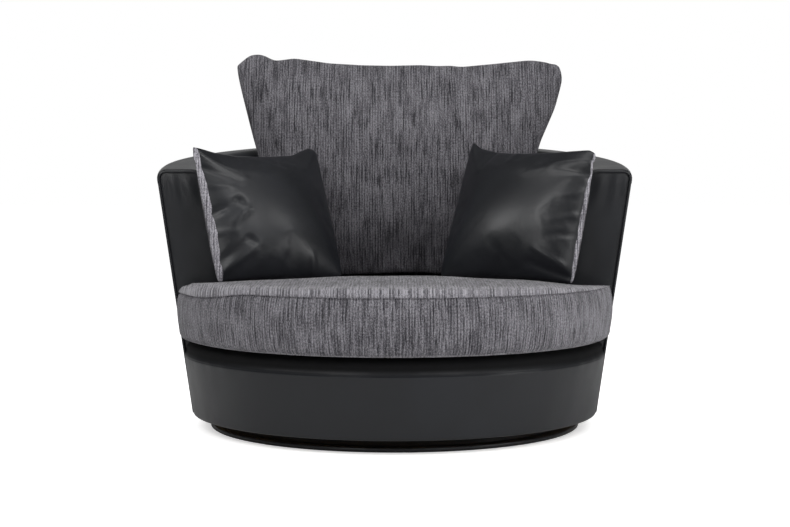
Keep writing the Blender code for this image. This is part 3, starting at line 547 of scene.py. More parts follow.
@once
def sawn_board():
    """Birch plywood: long face grain and darker plies round the edge."""
    finish = Finish("plywood board", Roughness=0.72)
    x, y, z = finish.split(finish.place)
    rings = finish.cloudy(finish.joined(x * 55.0, y * 3.0, z * 3.0), detail=5.0, roughness=0.65)
    plies = z.maths("SINE", z * (TAU / 0.0036))
    grain = finish.between(finish.step(rings, 0.3, 0.7), (0.34, 0.215, 0.105), (0.52, 0.37, 0.21))
    facing = finish.node("ShaderNodeNewGeometry", out="Normal")
    upright = abs(finish.split(facing)[2])
    edge = 1.0 - finish.step(upright, 0.3, 0.7)
    finish.feed(
        Base_Color=finish.between(edge * finish.step(plies, -0.1, 0.1), grain, (0.19, 0.115, 0.06)),
        Normal=finish.bump(rings, 0.0004, 0.4),
    )
    return finish.material


@once
def planed_timber():
    """Softwood with growth rings along its length."""
    finish = Finish("softwood timber", Roughness=0.62)
    x, y, z = finish.split(finish.place)
    swirl = finish.cloudy(finish.stretched(finish.place, (9.0, 9.0, 2.0)), detail=2.0)
    rings = x.maths("SINE", (x + y + 0.05 * swirl) * 330.0)
    fibre = finish.cloudy(finish.joined(x * 420.0, y * 420.0, z * 24.0), detail=2.0)
    tone = finish.step(0.5 + 0.35 * rings + 0.4 * (fibre - 0.5), 0.1, 0.9)
    finish.feed(
        Base_Color=finish.between(tone, (0.40, 0.245, 0.11), (0.58, 0.41, 0.23)),
        Normal=finish.bump(fibre, 0.0003, 0.4),
    )
    return finish.material


@once
def bent_hardboard():
    """Brown pressed fibre board."""
    finish = Finish("bent hardboard", Roughness=0.8)
    fibre = finish.cloudy(finish.place, 260.0, 4.0, 0.7)
    mottle = finish.cloudy(finish.place, 14.0, 3.0, 0.6)
    tone = 0.6 * fibre + 0.5 * mottle
    finish.feed(
        Base_Color=finish.between(finish.step(tone, 0.35, 0.75), (0.17, 0.095, 0.045), (0.31, 0.19, 0.10)),
        Normal=finish.bump(fibre, 0.0005, 0.5),
    )
    return finish.material


@once
def cut_foam():
    """Cream upholstery foam with open cells."""
    finish = Finish("cut foam", Roughness=0.98, Specular_IOR_Level=0.1)
    cells = finish.node("ShaderNodeTexVoronoi", inputs={"Vector": finish.place, "Scale": 420.0})
    stain = finish.cloudy(finish.place, 6.0, 3.0, 0.5)
    finish.feed(
        Base_Color=finish.between(finish.step(stain, 0.4, 0.8), (0.74, 0.69, 0.52), (0.66, 0.56, 0.36)),
        Normal=finish.bump(cells, 0.0008, 0.7),
    )
    return finish.material


@once
def needle_felt():
    """Mottled recycled felt."""
    finish = Finish("grey felt pad", Roughness=1.0, Specular_IOR_Level=0.1)
    flecks = finish.cloudy(finish.place, 150.0, 4.0, 0.75)
    stops = [
        (0.3, (0.09, 0.09, 0.10)),
        (0.5, (0.24, 0.24, 0.25)),
        (0.62, (0.33, 0.30, 0.27)),
        (0.75, (0.5, 0.5, 0.5)),
    ]
    finish.feed(Base_Color=finish.ramp(flecks, stops), Normal=finish.bump(flecks, 0.0012, 0.6))
    return finish.material


def brushed_metal(name, low, high, roughness):
    """Metal with fine scratches and a dull film of handling."""
    finish = Finish(name, Metallic=1.0)
    scratches = finish.cloudy(finish.stretched(finish.place, (40.0, 900.0, 900.0)), detail=2.0)
    film = finish.cloudy(finish.place, 22.0, 4.0, 0.6)
    finish.feed(
        Base_Color=finish.between(finish.step(film, 0.35, 0.75), low, high),
        Roughness=roughness + 0.16 * film,
        Normal=finish.bump(scratches, 0.00006, 0.5),
    )
    return finish.material


@once
def pressed_steel():
    return brushed_metal("pressed steel", (0.40, 0.40, 0.41), (0.56, 0.56, 0.57), 0.24)


@once
def zinc_plate():
    return brushed_metal("zinc-plated steel", (0.52, 0.53, 0.50), (0.68, 0.67, 0.62), 0.28)


@once
def moulded_plastic(name, low, high):
    """Moulded plastic with a faint speckle and a softly worn surface."""
    finish = Finish(name)
    speckle = finish.cloudy(finish.place, 320.0, 2.0)
    scuff = finish.cloudy(finish.place, 30.0, 5.0, 0.65)
    finish.feed(
        Base_Color=finish.between(scuff, low, high),
        Roughness=0.38 + 0.2 * scuff,
        Normal=finish.bump(speckle, 0.0002, 0.4),
    )
    return finish.material


def nylon():
    return moulded_plastic("white nylon", (0.70, 0.69, 0.63), (0.82, 0.81, 0.76))


def black_plastic():
    return moulded_plastic("black plastic glide", (0.011, 0.011, 0.012), (0.024, 0.024, 0.025))


# Mesh building


def add_piece(name, data, finishes, body):
    """Puts a mesh or a curve in the scene as a piece that rides on a body."""
    piece = bpy.data.objects.new(name, data)
    bpy.context.scene.collection.objects.link(piece)
    for finish in finishes:
        data.materials.append(finish)
    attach(piece, body)
    return piece


def mesh_from(name, points, faces):
    mesh = bpy.data.meshes.new(name)
    mesh.from_pydata([tuple(point) for point in points], [], faces)
    mesh.update()
    mesh.shade_smooth()
    return mesh


def grid_faces(rows, columns, wrap_rows=False, wrap_columns=False):
    """Four-sided faces between points that are counted row by row."""
    index = np.arange(rows * columns).reshape(rows, columns)
    lower = index if wrap_rows else index[:-1]
    upper = np.roll(index, -1, 0) if wrap_rows else index[1:]
    corners = [lower, np.roll(lower, -1, 1), np.roll(upper, -1, 1), upper]
    if not wrap_columns:
        corners = [corner[:, :-1] for corner in corners]
    return np.stack(corners, -1).reshape(-1, 4).tolist()


def grid_mesh(name, points, wrap_rows=False):
    """A smooth mesh from an array of points [row][column][x, y, z]."""
    faces = grid_faces(*points.shape[:2], wrap_rows)
    return mesh_from(name, points.reshape(-1, 3), faces)


def drawn_to_middle(name, rings, middle, bottom, top):
    """A closed mesh of level rings of points, from the lowest up, that meet in a middle at both ends."""
    count, last = rings.shape[1], len(rings) - 1
    points = [*rings.reshape(-1, 3), (*middle, bottom), (*middle, top)]
    faces = grid_faces(len(rings), count, wrap_columns=True)
    for step in range(count):
        after = (step + 1) % count
        faces.append([after, step, len(points) - 2])
        faces.append([last * count + step, last * count + after, len(points) - 1])
    return mesh_from(name, points, faces)


def face_away(mesh, inside):
    """Turns the whole mesh over if its middle face looks towards the inside point."""
    face = mesh.polygons[len(mesh.polygons) // 2]
    if face.normal.dot(face.center - Vector(inside)) < 0:
        mesh.flip_normals()


def thicken(piece, thickness):
    """Gives a cover its thickness, inwards."""
    solid = piece.modifiers.new("thickness", "SOLIDIFY")
    solid.thickness = thickness
    solid.offset = -1.0


def points_of(mesh):
    points = np.empty(len(mesh.vertices) * 3)
    mesh.vertices.foreach_get("co", points)
    return points.reshape(-1, 3)


def set_points(mesh, points):
    mesh.vertices.foreach_set("co", points.astype(np.float32).ravel())
    mesh.update()


def ripple(x, y, z, seed):
    """Smooth seeded noise from -1 to 1."""
    return noise.noise(Vector((x + 31.7 * seed, y - 17.3 * seed, z + 5.1 * seed)))


def limited(value):
    """The value itself between 0 and 1, and otherwise the nearer of the two."""
    return min(1.0, max(0.0, value))


def eased(value, low, high):
    """Rises smoothly from 0 at low to 1 at high."""
    share = limited((value - low) / (high - low))
    return share * share * (3 - 2 * share)


def bell(distance, width):
    """A smooth bell, 1 in its middle and almost 0 at twice the width."""
    return math.exp(-((distance / width) ** 2))


def evenly(first, last, steps):
    return [float(value) for value in np.linspace(first, last, steps + 1)]


def at_bearing(radius, bearing):
    return radius * math.cos(bearing), radius * math.sin(bearing)


# The shell's shape


def outer_radius(z):
    shell = chosen().shell
    return shell.foot_radius + shell.flare * (z - board_bottom)


def inner_radius(z):
    return outer_radius(z) - chosen().shell.wall


def wall_bearing(radius, share):
    """From the right arm's front, share 0, round the back to the left arm's front, share 1."""
    first = math.asin(chosen().shell.arm_plane / radius)
    return first + share * (math.pi - 2 * first)


def front_bearing(radius, share):
    """From the right arm's front, share 0, round the drum's front to the left arm's front, share 1."""
    first = math.asin(chosen().shell.arm_plane / radius)
    return first - share * (math.pi + 2 * first)


def rim_at(y):
    shell = chosen().shell
    return shell.rim_front + shell.rim_slope * (y - shell.arm_plane)


def rim_height(share):
    radius = inner_radius(chosen().shell.rim_front) + chosen().shell.wall / 2
    return rim_at(radius * math.sin(wall_bearing(radius, share)))


def swept(profile, shares, bearing_of, relief=None):
    """Carries profile points (inset, rim share, height) round the shell. Relief adds to the inset."""
    points = np.empty((len(shares), len(profile), 3))
    for row, share in enumerate(shares):
        rim = rim_height(share)
        for column, (inset, rim_share, height) in enumerate(profile):
            z = rim_share * rim + height
            if relief:
                inset = inset + relief(share, column, z)
            radius = outer_radius(z) - inset
            points[row, column] = *at_bearing(radius, bearing_of(radius, share)), z
    return points


def turned(radius, first, last, steps):
    """Points on an arc about the origin, angles in degrees."""
    return [at_bearing(radius, math.radians(angle)) for angle in evenly(first, last, steps)]


def rim_outline(depth, steps=7):
    """The wall's rounded top at a depth under its face, from the outside over to the inside."""
    shell = chosen().shell
    outer, inner, wall = shell.outer_corner, shell.inner_corner, shell.wall
    points = [(outer - x, 1.0, y - outer) for x, y in turned(outer - depth, 0, 90, steps)]
    flat = np.linspace(outer, wall - inner, 5)[1:-1]
    points += [(inset, 1.0, -depth) for inset in flat]
    points += [(wall - inner - x, 1.0, y - inner) for x, y in turned(inner - depth, 90, 180, steps)]
    return points


def wall_slack(seed, scale=1.0):
    """Soft unevenness of a cover stretched over foam, with faint upright pulls."""
    slack = chosen().shell.slackness * scale

    def relief(share, z):
        along = ROUND_LENGTH * share
        pulls = ripple(along * 9.0, 0.0, z * 2.2, seed)
        soft = ripple(along * 3.0, 1.0, z * 4.0, seed + 1)
        return slack * (0.6 * pulls + 0.8 * soft)

    return relief


def turned_hem():
    """Profile points of a cover's hem, from under the board to just above its lower edge."""
    outline = ((0.030, 0.0), (0.014, 0.0), (0.0035, 0.0002), (0.0010, 0.0012), (0.0, 0.0036))
    return [(inset, 0.0, hem + height) for inset, height in outline]


class ChairOperator:
    """What the operators of this file share."""

    bl_options = {"REGISTER", "UNDO"}


class TUBCHAIR_OT_outer_cover(ChairOperator, bpy.types.Operator):
    """Stretch the outer cover round the shell, with its hem turned under the board"""

    bl_idname = "tub_chair.outer_cover"
    bl_label = "Outer Cover"
    SEAMS = (0.27, 0.73)
    ROWS = 26
    HEM_BAND = 0.010
    TIGHT_BAND = 0.05
    EDGE_TUCK = 0.0016

    def execute(self, context):
        shell = chosen().shell
        start = hem + self.HEM_BAND
        profile = [*turned_hem(), (0.0, 0.0, start)]
        for row in range(1, self.ROWS + 1):
            share = row / self.ROWS
            profile.append((0.0, share, start * (1 - share) - shell.side_seam_drop * share))
        slack = wall_slack(3)
        last = len(profile) - 1

        def relief(share, column, z):
            inset = slack(share, z) * limited((z - hem) / self.TIGHT_BAND)
            inset *= min(1.0, (last - column) / 2)
            for seam in self.SEAMS:
                off = (share - seam) * ROUND_LENGTH
                inset += 0.0024 * bell(off, SEAM_WIDTH) - 0.0008 * bell(off, 0.013)
            return inset + (self.EDGE_TUCK if column == last else 0.0)

        close = [seam + step * 0.0009 for seam in self.SEAMS for step in range(-9, 10)]
        shares = sorted({round(share, 5) for share in evenly(0, 1, 150) + close})
        mesh = grid_mesh("outer_leather", swept(profile, shares, wall_bearing, relief))
        face_away(mesh, (0, 0.2, 0.3))
        piece = add_piece("outer_leather", mesh, [black_leather()], "seat")
        thicken(piece, shell.leather)
        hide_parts("outer_cover")
        return {"FINISHED"}


class TUBCHAIR_OT_inner_cover(ChairOperator, bpy.types.Operator):
    """Lay the inner cover over the padded rim and down the inside of the wall"""

    bl_idname = "tub_chair.inner_cover"
    bl_label = "Inner Cover"
    ROWS = 22
    RIM_COLUMNS = 20
    SLACK_AT_ENDS = 0.35
    ENDS = 40

    def execute(self, context):
        shell = chosen().shell
        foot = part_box("wall_foam")[0].z
        edge = -shell.side_seam_drop
        profile = [(0.0016, 1.0, edge + 0.0004), (0.0, 1.0, edge + 0.004), *rim_outline(0.0)]
        for row in range(1, self.ROWS + 1):
            share = 1 - row / self.ROWS
            profile.append((shell.wall, share, -shell.inner_corner * share + foot * (1 - share)))
        slack = wall_slack(8, 1.7)

        def relief(share, column, z):
            if column < 2:
                return 0.0
            towards_foam = 1.0 if column < self.RIM_COLUMNS else -1.0
            inner = min(1.0, min(share, 1 - share) * self.ENDS)
            loose = self.SLACK_AT_ENDS + (1 - self.SLACK_AT_ENDS) * inner
            return towards_foam * slack(share, z) * loose

        mesh = grid_mesh("inner_leather", swept(profile, evenly(0, 1, 170), wall_bearing, relief))
        face_away(mesh, (0, 0.9, 0.3))
        piece = add_piece("inner_leather", mesh, [black_leather()], "seat")
        thicken(piece, shell.leather)
        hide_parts("inner_cover")
        return {"FINISHED"}


def round_drop(inset, radius):
    """How far a rounded edge lies below its top, at a level distance in from its side."""
    if inset >= radius:
        return 0.0
    return radius - math.sqrt(max(0.0, radius**2 - (radius - inset) ** 2))


def arm_top(across, rim):
    """How high the arm's front reaches at a share of its width, 0 at the inside and 1 at the outside."""
    shell = chosen().shell
    outside = round_drop(shell.wall * (1 - across), shell.outer_corner)
    inside = round_drop(shell.wall - shell.wall * (1 - across), shell.inner_corner)
    return rim - outside - inside


class TUBCHAIR_OT_arm_fronts(ChairOperator, bpy.types.Operator):
    """Pad the flat fronts of both arms and run piping round them"""

    bl_idname = "tub_chair.arm_fronts"
    bl_label = "Arm Fronts"
    COLUMNS = 34
    ROWS = 64
    THICKNESS = 0.009
    CROWN = 0.0042

    def execute(self, context):
        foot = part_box("arm_facing_right")[0].z
        rim = rim_height(0.0)
        for word, side in (("right", 1), ("left", -1)):
            points = np.empty((self.ROWS + 1, self.COLUMNS + 1, 3))
            for row in range(self.ROWS + 1):
                for column in range(self.COLUMNS + 1):
                    across = 0.5 - 0.5 * math.cos(math.pi * column / self.COLUMNS)
                    up = 0.5 - 0.5 * math.cos(math.pi * (row / self.ROWS) ** 0.9)
                    points[row, column] = self.spot(across, up, side, foot, rim)
            mesh = grid_mesh(f"arm_front_{word}", points)
            face_away(mesh, (points[0, 0, 0], 0.5, 0.4))
            piece = add_piece(f"arm_front_{word}", mesh, [black_leather()], "seat")
            thicken(piece, self.THICKNESS)
            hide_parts(f"arm_facing_{word}")
            self.piping(word, side, rim)
        return {"FINISHED"}

    def spot(self, across, up, side, foot, rim):
        """A point of the crowned front, by its shares of the width and of the height."""
        shell = chosen().shell
        z = foot + up * (arm_top(across, rim) - foot)
        radius = outer_radius(z) - shell.wall * (1 - across)
        full = max(0.0, (1 - abs(2 * across - 1) ** 3.2) * (1 - abs(2 * up - 1) ** 9))
        x = side * math.sqrt(max(0.0, radius**2 - shell.arm_plane**2))
        y = shell.arm_plane - self.CROWN * full**0.6 - self.fold(across, up, side) * full**0.5
        return x, y, z

    def fold(self, across, up, side):
        """Slack leather below the top of the arm's front."""
        soft = 0.0012 * ripple(across * 3.0, up * 5.0, 0.0, 4 + side)
        pulls = math.sin(across * 21.0 + 2.0 * ripple(across * 2, up * 3, 1.0, 6)) * (1.0 - 0.6 * across)
        return soft + 0.0019 * bell(up - 0.90, 0.075) * pulls

    def piping(self, word, side, rim):
        """A cord from the hem up the arm's front, over the rim and down to the deck."""
        shell = chosen().shell
        radius = shell.piping_radius
        depth = radius - 0.0015
        outline = [(depth, 0.0, board_bottom + radius), (depth, 0.0, deck_top)]
        outline += [(depth, 0.5, (deck_top - shell.outer_corner) / 2), *rim_outline(depth, 10)]
        outline += [(shell.wall - depth, 0.0, deck_top + radius)]
        curve = bpy.data.curves.new(f"arm_cord_{word}", "CURVE")
        curve.dimensions = "3D"
        curve.bevel_depth = radius
        curve.bevel_resolution = 3
        curve.use_fill_caps = True
        spline = curve.splines.new("POLY")
        spline.points.add(len(outline) - 1)
        for knot, (inset, rim_share, height) in zip(spline.points, outline):
            z = rim_share * rim + height
            across = math.sqrt((outer_radius(z) - inset) ** 2 - shell.arm_plane**2)
            knot.co = (side * across, shell.arm_plane - BEFORE_ARMS - radius, z, 1)
        piece = add_piece(f"arm_cord_{word}", curve, [black_leather()], "seat")
        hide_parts(f"arm_piping_{word}")


def recess_heights(seam):
    """Heights from the drum's seam up to the deck, closer together where the cover turns in."""
    return [seam + (deck_top - seam) * (1 - (1 - share) ** 1.7) for share in evenly(0.07, 1.0, 14)]


def drawn_in(z):
    """How far the cover lies in above its seam: a little beside the deck's frame, far in over it."""
    turn = deck_frame_top + 0.0035
    beside = 0.0088 * eased(z, chosen().shell.front_seam_height - SEAM_LIP, turn)
    over = limited((z - turn) / (deck_top - turn))
    return beside + 0.0512 * (1 - math.sqrt(max(0.0, 1 - over**2)))


class TUBCHAIR_OT_drum_front(ChairOperator, bpy.types.Operator):
    """Cover the drum's front below the seat, rolled in over the deck above its seam"""

    bl_idname = "tub_chair.drum_front"
    bl_label = "Drum Front"

    def execute(self, context):
        shell = chosen().shell
        seam = shell.front_seam_height
        profile = turned_hem()
        profile += [(0.0, 0.0, z) for z in evenly(hem + 0.008, seam - 0.010, 22)]
        profile += [(0.0, 0.0, z) for z in evenly(seam - 0.008, seam + 0.001, 9)]
        profile += [(drawn_in(z), 0.0, z) for z in recess_heights(seam)]
        profile += [(inset, 0.0, deck_top) for inset in (0.067, COVER_END)]
        slack = wall_slack(12, 1.5)

        def relief(share, column, z):
            free = limited((z - hem) / 0.03) * limited((deck_top - z) / 0.01)
            puckers = 0.0010 * ripple(share * 46.0, 0.0, 0.0, 21) * bell(z - seam, 0.02)
            below = 0.0008 * ripple(share * 60.0, 0.0, 3.0, 22) * bell(z - hem, 0.02)
            return free * (slack(share, z) + puckers + below) + 0.0012 * bell(z - seam, 0.0035)

        points = swept(profile, evenly(0, 1, 210), front_bearing, relief)
        points[:, :, 1] -= BEFORE_ARMS
        mesh = grid_mesh("drum_front_leather", points)
        face_away(mesh, (0, -0.2, 0.15))
        # The second finish, above the seam, carries painted shade.
        finishes = [black_leather(), tucked_leather_painted_shade()]
        piece = add_piece("drum_front_leather", mesh, finishes, "seat")
        for face in mesh.polygons:
            face.material_index = 1 if face.center.z > seam - SEAM_LIP else 0
        thicken(piece, shell.leather)
        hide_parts("base_front_cover")
        return {"FINISHED"}


class TUBCHAIR_OT_plinth_wrap(ChairOperator, bpy.types.Operator):
    """Wrap the plinth in leather that is joined by upright seams"""

    bl_idname = "tub_chair.plinth_wrap"
    bl_label = "Plinth Wrap"
    seam_count: bpy.props.IntProperty(name="Seams", description="Number of upright seams", default=8, min=1)
    FIRST_SEAM = math.radians(-42)
    STEPS = 400
    THICKNESS = 0.0011
    EDGE = 0.0038
    BAND = 0.0115

    def profile(self, low, high, radius):
        """Points (distance out from the band's face, height), from the board down round the band."""
        edge = self.EDGE
        top = low + self.BAND
        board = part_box("plinth_board")[1].x - radius + 0.0012
        points = [(board - 0.020, high), (board - 0.002, high), (board, high - 0.002)]
        points += [(board, top + 0.001), (board + 0.001, top), (-edge, top)]
        points += [(x - edge, top - edge + y) for x, y in reversed(turned(edge, 0, 90, 5)[:-1])]
        points += [(0.0, (low + top) / 2)]
        points += [(x - edge, low + edge - y) for x, y in turned(edge, 0, 90, 5)]
        return points + [(-0.015, low), (board - 0.003, low)]

    def execute(self, context):
        low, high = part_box("plinth_cover")
        radius = high.x
        profile = self.profile(low.z, high.z, radius)
        between = TAU / self.seam_count
        points = np.empty((self.STEPS, len(profile), 3))
        for step in range(self.STEPS):
            bearing = TAU * step / self.STEPS
            off = radius * ((bearing - self.FIRST_SEAM + between / 2) % between - between / 2)
            dip = 0.0016 * bell(off, SEAM_WIDTH) - 0.0010 * bell(off - 0.012, 0.008)
            waves = 0.0005 * ripple(math.cos(bearing) * 6, math.sin(bearing) * 6, 0.0, 30)
            for column, (out, z) in enumerate(profile):
                face = radius + out - (dip + waves if out > -2 * self.EDGE else 0.0)
                points[step, column] = *at_bearing(face, bearing), z
        mesh = grid_mesh("plinth_leather", points, wrap_rows=True)
        face_away(mesh, (0, 0, low.z / 2 + high.z / 2))
        piece = add_piece("plinth_leather", mesh, [black_leather()], "plinth")
        thicken(piece, self.THICKNESS)
        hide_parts("plinth_cover")
        return {"FINISHED"}


def closed_sweep(name, profile, shares, bearing_of):
    """A closed solid swept round the shell, with its ends capped."""
    points = swept(profile, shares, bearing_of)
    rows, columns = points.shape[:2]
    faces = grid_faces(rows, columns, wrap_columns=True)
    faces += [list(range(columns)), list(range((rows - 1) * columns, rows * columns))[::-1]]
    mesh = mesh_from(name, points.reshape(-1, 3), faces)
    side = points[rows // 2, 0] - points[rows // 2].mean(0)
    face = mesh.polygons[(rows // 2) * columns]
    if face.normal.dot(Vector(side)) < 0:
        mesh.flip_normals()
    return mesh


class TUBCHAIR_OT_padding(ChairOperator, bpy.types.Operator):
    """Put the foam in the wall and the front, and the felt and cloth on the deck"""

    bl_idname = "tub_chair.padding"
    bl_label = "Padding"
    DEPTH = 0.0062
    WALL_FOAM = 0.030
    BELOW_RIM = -0.0276

    def execute(self, context):
        self.wall()
        self.front()
        self.deck()
        return {"FINISHED"}

    def wall(self):
        shell = chosen().shell
        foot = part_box("wall_foam")[0].z
        face = shell.wall - self.DEPTH
        rear = face - self.WALL_FOAM
        profile = [(self.DEPTH, 1.0, self.BELOW_RIM), *rim_outline(self.DEPTH, 5)]
        profile += [(face, 1.0, -0.15), (face, 0.5, foot / 2), (face, 0.0, foot)]
        profile += [(rear, 0.0, foot), (rear, 1.0, self.BELOW_RIM)]
        mesh = closed_sweep("wall_padding", profile, evenly(0.012, 0.988, 90), wall_bearing)
        piece = add_piece("wall_padding", mesh, [cut_foam()], "seat")
        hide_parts("wall_foam")

    def front(self):
        depth = self.DEPTH
        seam = chosen().shell.front_seam_height
        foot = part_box("base_front_foam")[0].z
        shelf = deck_frame_top + 0.001
        profile = [(depth, 0.0, foot), (depth, 0.0, (foot + seam) / 2), (depth, 0.0, seam - depth)]
        for z in recess_heights(seam)[1::2]:
            profile.append((depth + drawn_in(z), 0.0, min(z - 0.4 * depth, deck_top - depth)))
        profile += [(PADDING_END, 0.0, deck_top - depth), (PADDING_END, 0.0, shelf)]
        profile += [(0.0150, 0.0, shelf), (0.0150, 0.0, foot)]
        mesh = closed_sweep("front_padding", profile, evenly(0.006, 0.994, 90), front_bearing)
        piece = add_piece("front_padding", mesh, [cut_foam()], "seat")
        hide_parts("base_front_foam")

    def deck(self):
        front = outer_radius(deck_top) - DECK_EDGE
        rear = inner_radius(deck_frame_top) - 0.0015
        plan = tub_plan(front, rear, chosen().shell.arm_plane - 0.0014)
        piece = self.slab("deck_felt", "deck_pad", plan, needle_felt(), "felt")
        piece = self.slab("deck_cloth", "platform_cloth", plan, black_cloth(), "black_cloth")
        area = plan_area(plan)
        width, length = 2 * front, 1.01 * area / (2 * front)
        reach = max(y for _, y in plan) - min(y for _, y in plan)

    def slab(self, name, node, plan, finish, slot):
        """A flat layer of the deck's plan, as thick as its node, with rings of points on both faces."""
        low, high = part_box(node)
        outline, middle = np.array(plan), np.array([0.0, -0.1])
        rings = []
        for z, sizes in ((low.z, (0.35, 0.7, 0.995)), (high.z, (0.995, 0.7, 0.35))):
            for size in sizes:
                ring = middle + (outline - middle) * size
                rings.append(np.column_stack([ring, np.full(len(ring), z)]))
        mesh = drawn_to_middle(name, np.array(rings), middle, low.z, high.z)
        piece = add_piece(name, mesh, [finish], "seat")
        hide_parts(node)
        return piece


def plan_area(plan):
    x, y = np.array(plan).T
    return 0.5 * abs(float(np.dot(x, np.roll(y, -1)) - np.dot(y, np.roll(x, -1))))


def tub_plan(front_radius, rear_radius, step_y, corner=0.0, steps=60):
    """A round plan, wide in front of the arms and narrower between them, anticlockwise from the right."""
    rear = math.asin(step_y / rear_radius)
    back = [at_bearing(rear_radius, rear + (math.pi - 2 * rear) * step / steps) for step in range(steps + 1)]
    centre_y = step_y - corner
    centre_x = math.sqrt((front_radius - corner) ** 2 - centre_y**2)
    swing = math.atan2(centre_y, centre_x)
    corner_steps = 12 if corner else 0
    ear = []
    for step in range(corner_steps + 1):
        x, y = at_bearing(corner, swing + (math.pi / 2 - swing) * step / max(1, corner_steps))
        ear.append((centre_x + x, centre_y + y))
    inner_x = rear_radius * math.cos(rear)
    ledge = [(ear[-1][0] * (1 - share) + inner_x * share, step_y) for share in (0.75, 0.5, 0.25)]
    around, sweep = 2 * steps, math.pi + 2 * swing
    front = [at_bearing(front_radius, -math.pi - swing + sweep * step / around) for step in range(1, around)]
    mirrored = [(-x, y) for x, y in ledge + ear[::-1]]
    return back + mirrored + front + ear + ledge[::-1]


# The cushions


# Frames of cloth that fill a cover
FILL_STEPS = 26


def fill(piece, stiffness, bending):
    """Blows up a sewn cover as cloth, and keeps the solved shape as the mesh."""
    cloth = piece.modifiers.new("filling", "CLOTH")
    fabric = cloth.settings
    fabric.quality = 6
    fabric.mass = 0.25
    fabric.air_damping = 2.0
    for way, share in (("tension", 1), ("compression", 1), ("shear", 0.5)):
        setattr(fabric, f"{way}_stiffness", stiffness * share)
        setattr(fabric, f"{way}_damping", 12.0)
    fabric.bending_stiffness = bending
    fabric.use_pressure = True
    fabric.uniform_pressure_force = chosen().cushions.air_pressure
    fabric.effector_weights.gravity = 0.0
    cloth.point_cache.frame_start = 1
    cloth.point_cache.frame_end = FILL_STEPS
    for step in range(1, FILL_STEPS + 1):
        bpy.context.scene.frame_set(step)
    solved = piece.evaluated_get(bpy.context.evaluated_depsgraph_get())
    points = points_of(solved.data)
    piece.modifiers.remove(cloth)
    bpy.context.scene.frame_set(1)
    set_points(piece.data, points)


def sewn_cover(name, width, height, columns, rows, seed):
    """Two flat skins sewn along their edges, and where each point started, from -1 to 1."""
    index, vertices, starts = {}, [], []
    for side in (1, -1):
        for i in range(columns + 1):
            for j in range(rows + 1):
                edge = i in (0, columns) or j in (0, rows)
                if edge and side < 0:
                    index[side, i, j] = index[1, i, j]
                    continue
                u, v = 2 * i / columns - 1, 2 * j / rows - 1
                puff = 0.0
                if not edge:
                    puff = side * 0.02 * ((1 - u * u) * (1 - v * v)) ** 0.5
                    puff += 0.0012 * ripple(u * 6, v * 6, side, seed)
                index[side, i, j] = len(vertices)
                vertices.append((u * width / 2, -puff, v * height / 2))
                starts.append((u, v, 0 if edge else side))
    faces = []
    for side in (1, -1):
        for i in range(columns):
            for j in range(rows):
                corners = [(i, j), (i + 1, j), (i + 1, j + 1), (i, j + 1)]
                faces.append([index[side, a, b] for a, b in corners][::side])
    return mesh_from(name, vertices, faces), np.array(starts)


def corner_frame(points, starts):
    """Scales a blown-up cover so that its corners lie at -1 and 1, and its depth reaches 1."""
    u, v = starts[:, 0], starts[:, 1]
    corners = (np.abs(u) == 1) & (np.abs(v) == 1)
    x = points[:, 0] / np.abs(points[corners, 0]).mean()
    z = points[:, 2] / np.abs(points[corners, 2]).mean()
    depth = -points[:, 1]
    return x, z, depth / np.abs(depth).max()


def plumped(x, z, depth, starts, share, droop):
    """Evens out a blown-up cover by a share towards a smooth cushion, whose filling has sunk by droop."""
    u, v, side = starts.T
    sunk = v + droop * (1 - v * v)
    full = side * np.clip((1 - u * u) * (1 - sunk * sunk), 0, None) ** 0.55
    return x + (0.97 * u - x) * share, z + (0.97 * v - z) * share, depth + (full - depth) * share


def straightened(x, z, starts, share, foot_share):
    """Draws the edges of a blown-up cover towards straight lines between its corners."""
    u, v = starts[:, 0], starts[:, 1]
    share = share + (foot_share - share) * np.clip(-v, 0, 1) ** 3
    weight = share * np.maximum(np.abs(u), np.abs(v)) ** 5
    return x + (u - x) * weight, z + (v - z) * weight


def between_corners(u, v, corners):
    """A point by its shares of a four-cornered patch: foot left, foot right, top left, top right."""
    foot_left, foot_right, top_left, top_right = (np.array(corner) for corner in corners)
    across, up = (u + 1) / 2, (v + 1) / 2
    foot = (1 - across) * foot_left + across * foot_right
    top = (1 - across) * top_left + across * top_right
    return (1 - up) * foot + up * top


def filled_shares(piece, starts, stiffness, bending, even, droop, straight, straight_foot):
    """Fills a sewn cover and evens it out. Gives each point's place across and up, and its depth."""
    fill(piece, stiffness, bending)
    points = points_of(piece.data)
    across, up, depth = plumped(*corner_frame(points, starts), starts, even, droop)
    across, up = straightened(across, up, starts, straight, straight_foot)
    return zip(across, up, depth)


def smooth_cover(piece):
    finer = piece.modifiers.new("smooth", "SUBSURF")
    finer.levels = 1
    finer.render_levels = 1


def along_edge(at, shape):
    """Reads a list of (place, amount) at a place between its points."""
    return float(np.interp(at, *zip(*shape)))


def press_off_wall(points, clearance=0.010):
    """Keeps a cushion off the inside of the wall, bent out softly before the arm and over the rim."""
    shell = chosen().shell
    arm_clearance, bend = 0.026, 2.0
    for point in points:
        x, y, z = point
        ahead = max(0.0, shell.arm_plane - arm_clearance - y)
        above = max(0.0, z - rim_at(y) - clearance)
        most = inner_radius(z) - clearance + bend * max(ahead, above)
        radius = math.hypot(x, y)
        if radius > most:
            point[:2] *= most / radius
    return points


# The seat's top: its height, its crown with where that lies and how far it reaches, and its dips
SEAT_EDGE = 0.3990
SEAT_CROWN = 0.0070
SEAT_CROWN_Y = -0.27
SEAT_REACH_X = 0.56
SEAT_REACH_Y = 0.29
BACK_DIP = 0.032
SIDE_DIP = 0.0075
EAR_DIP = {"left": 0.0060, "right": 0.0130}


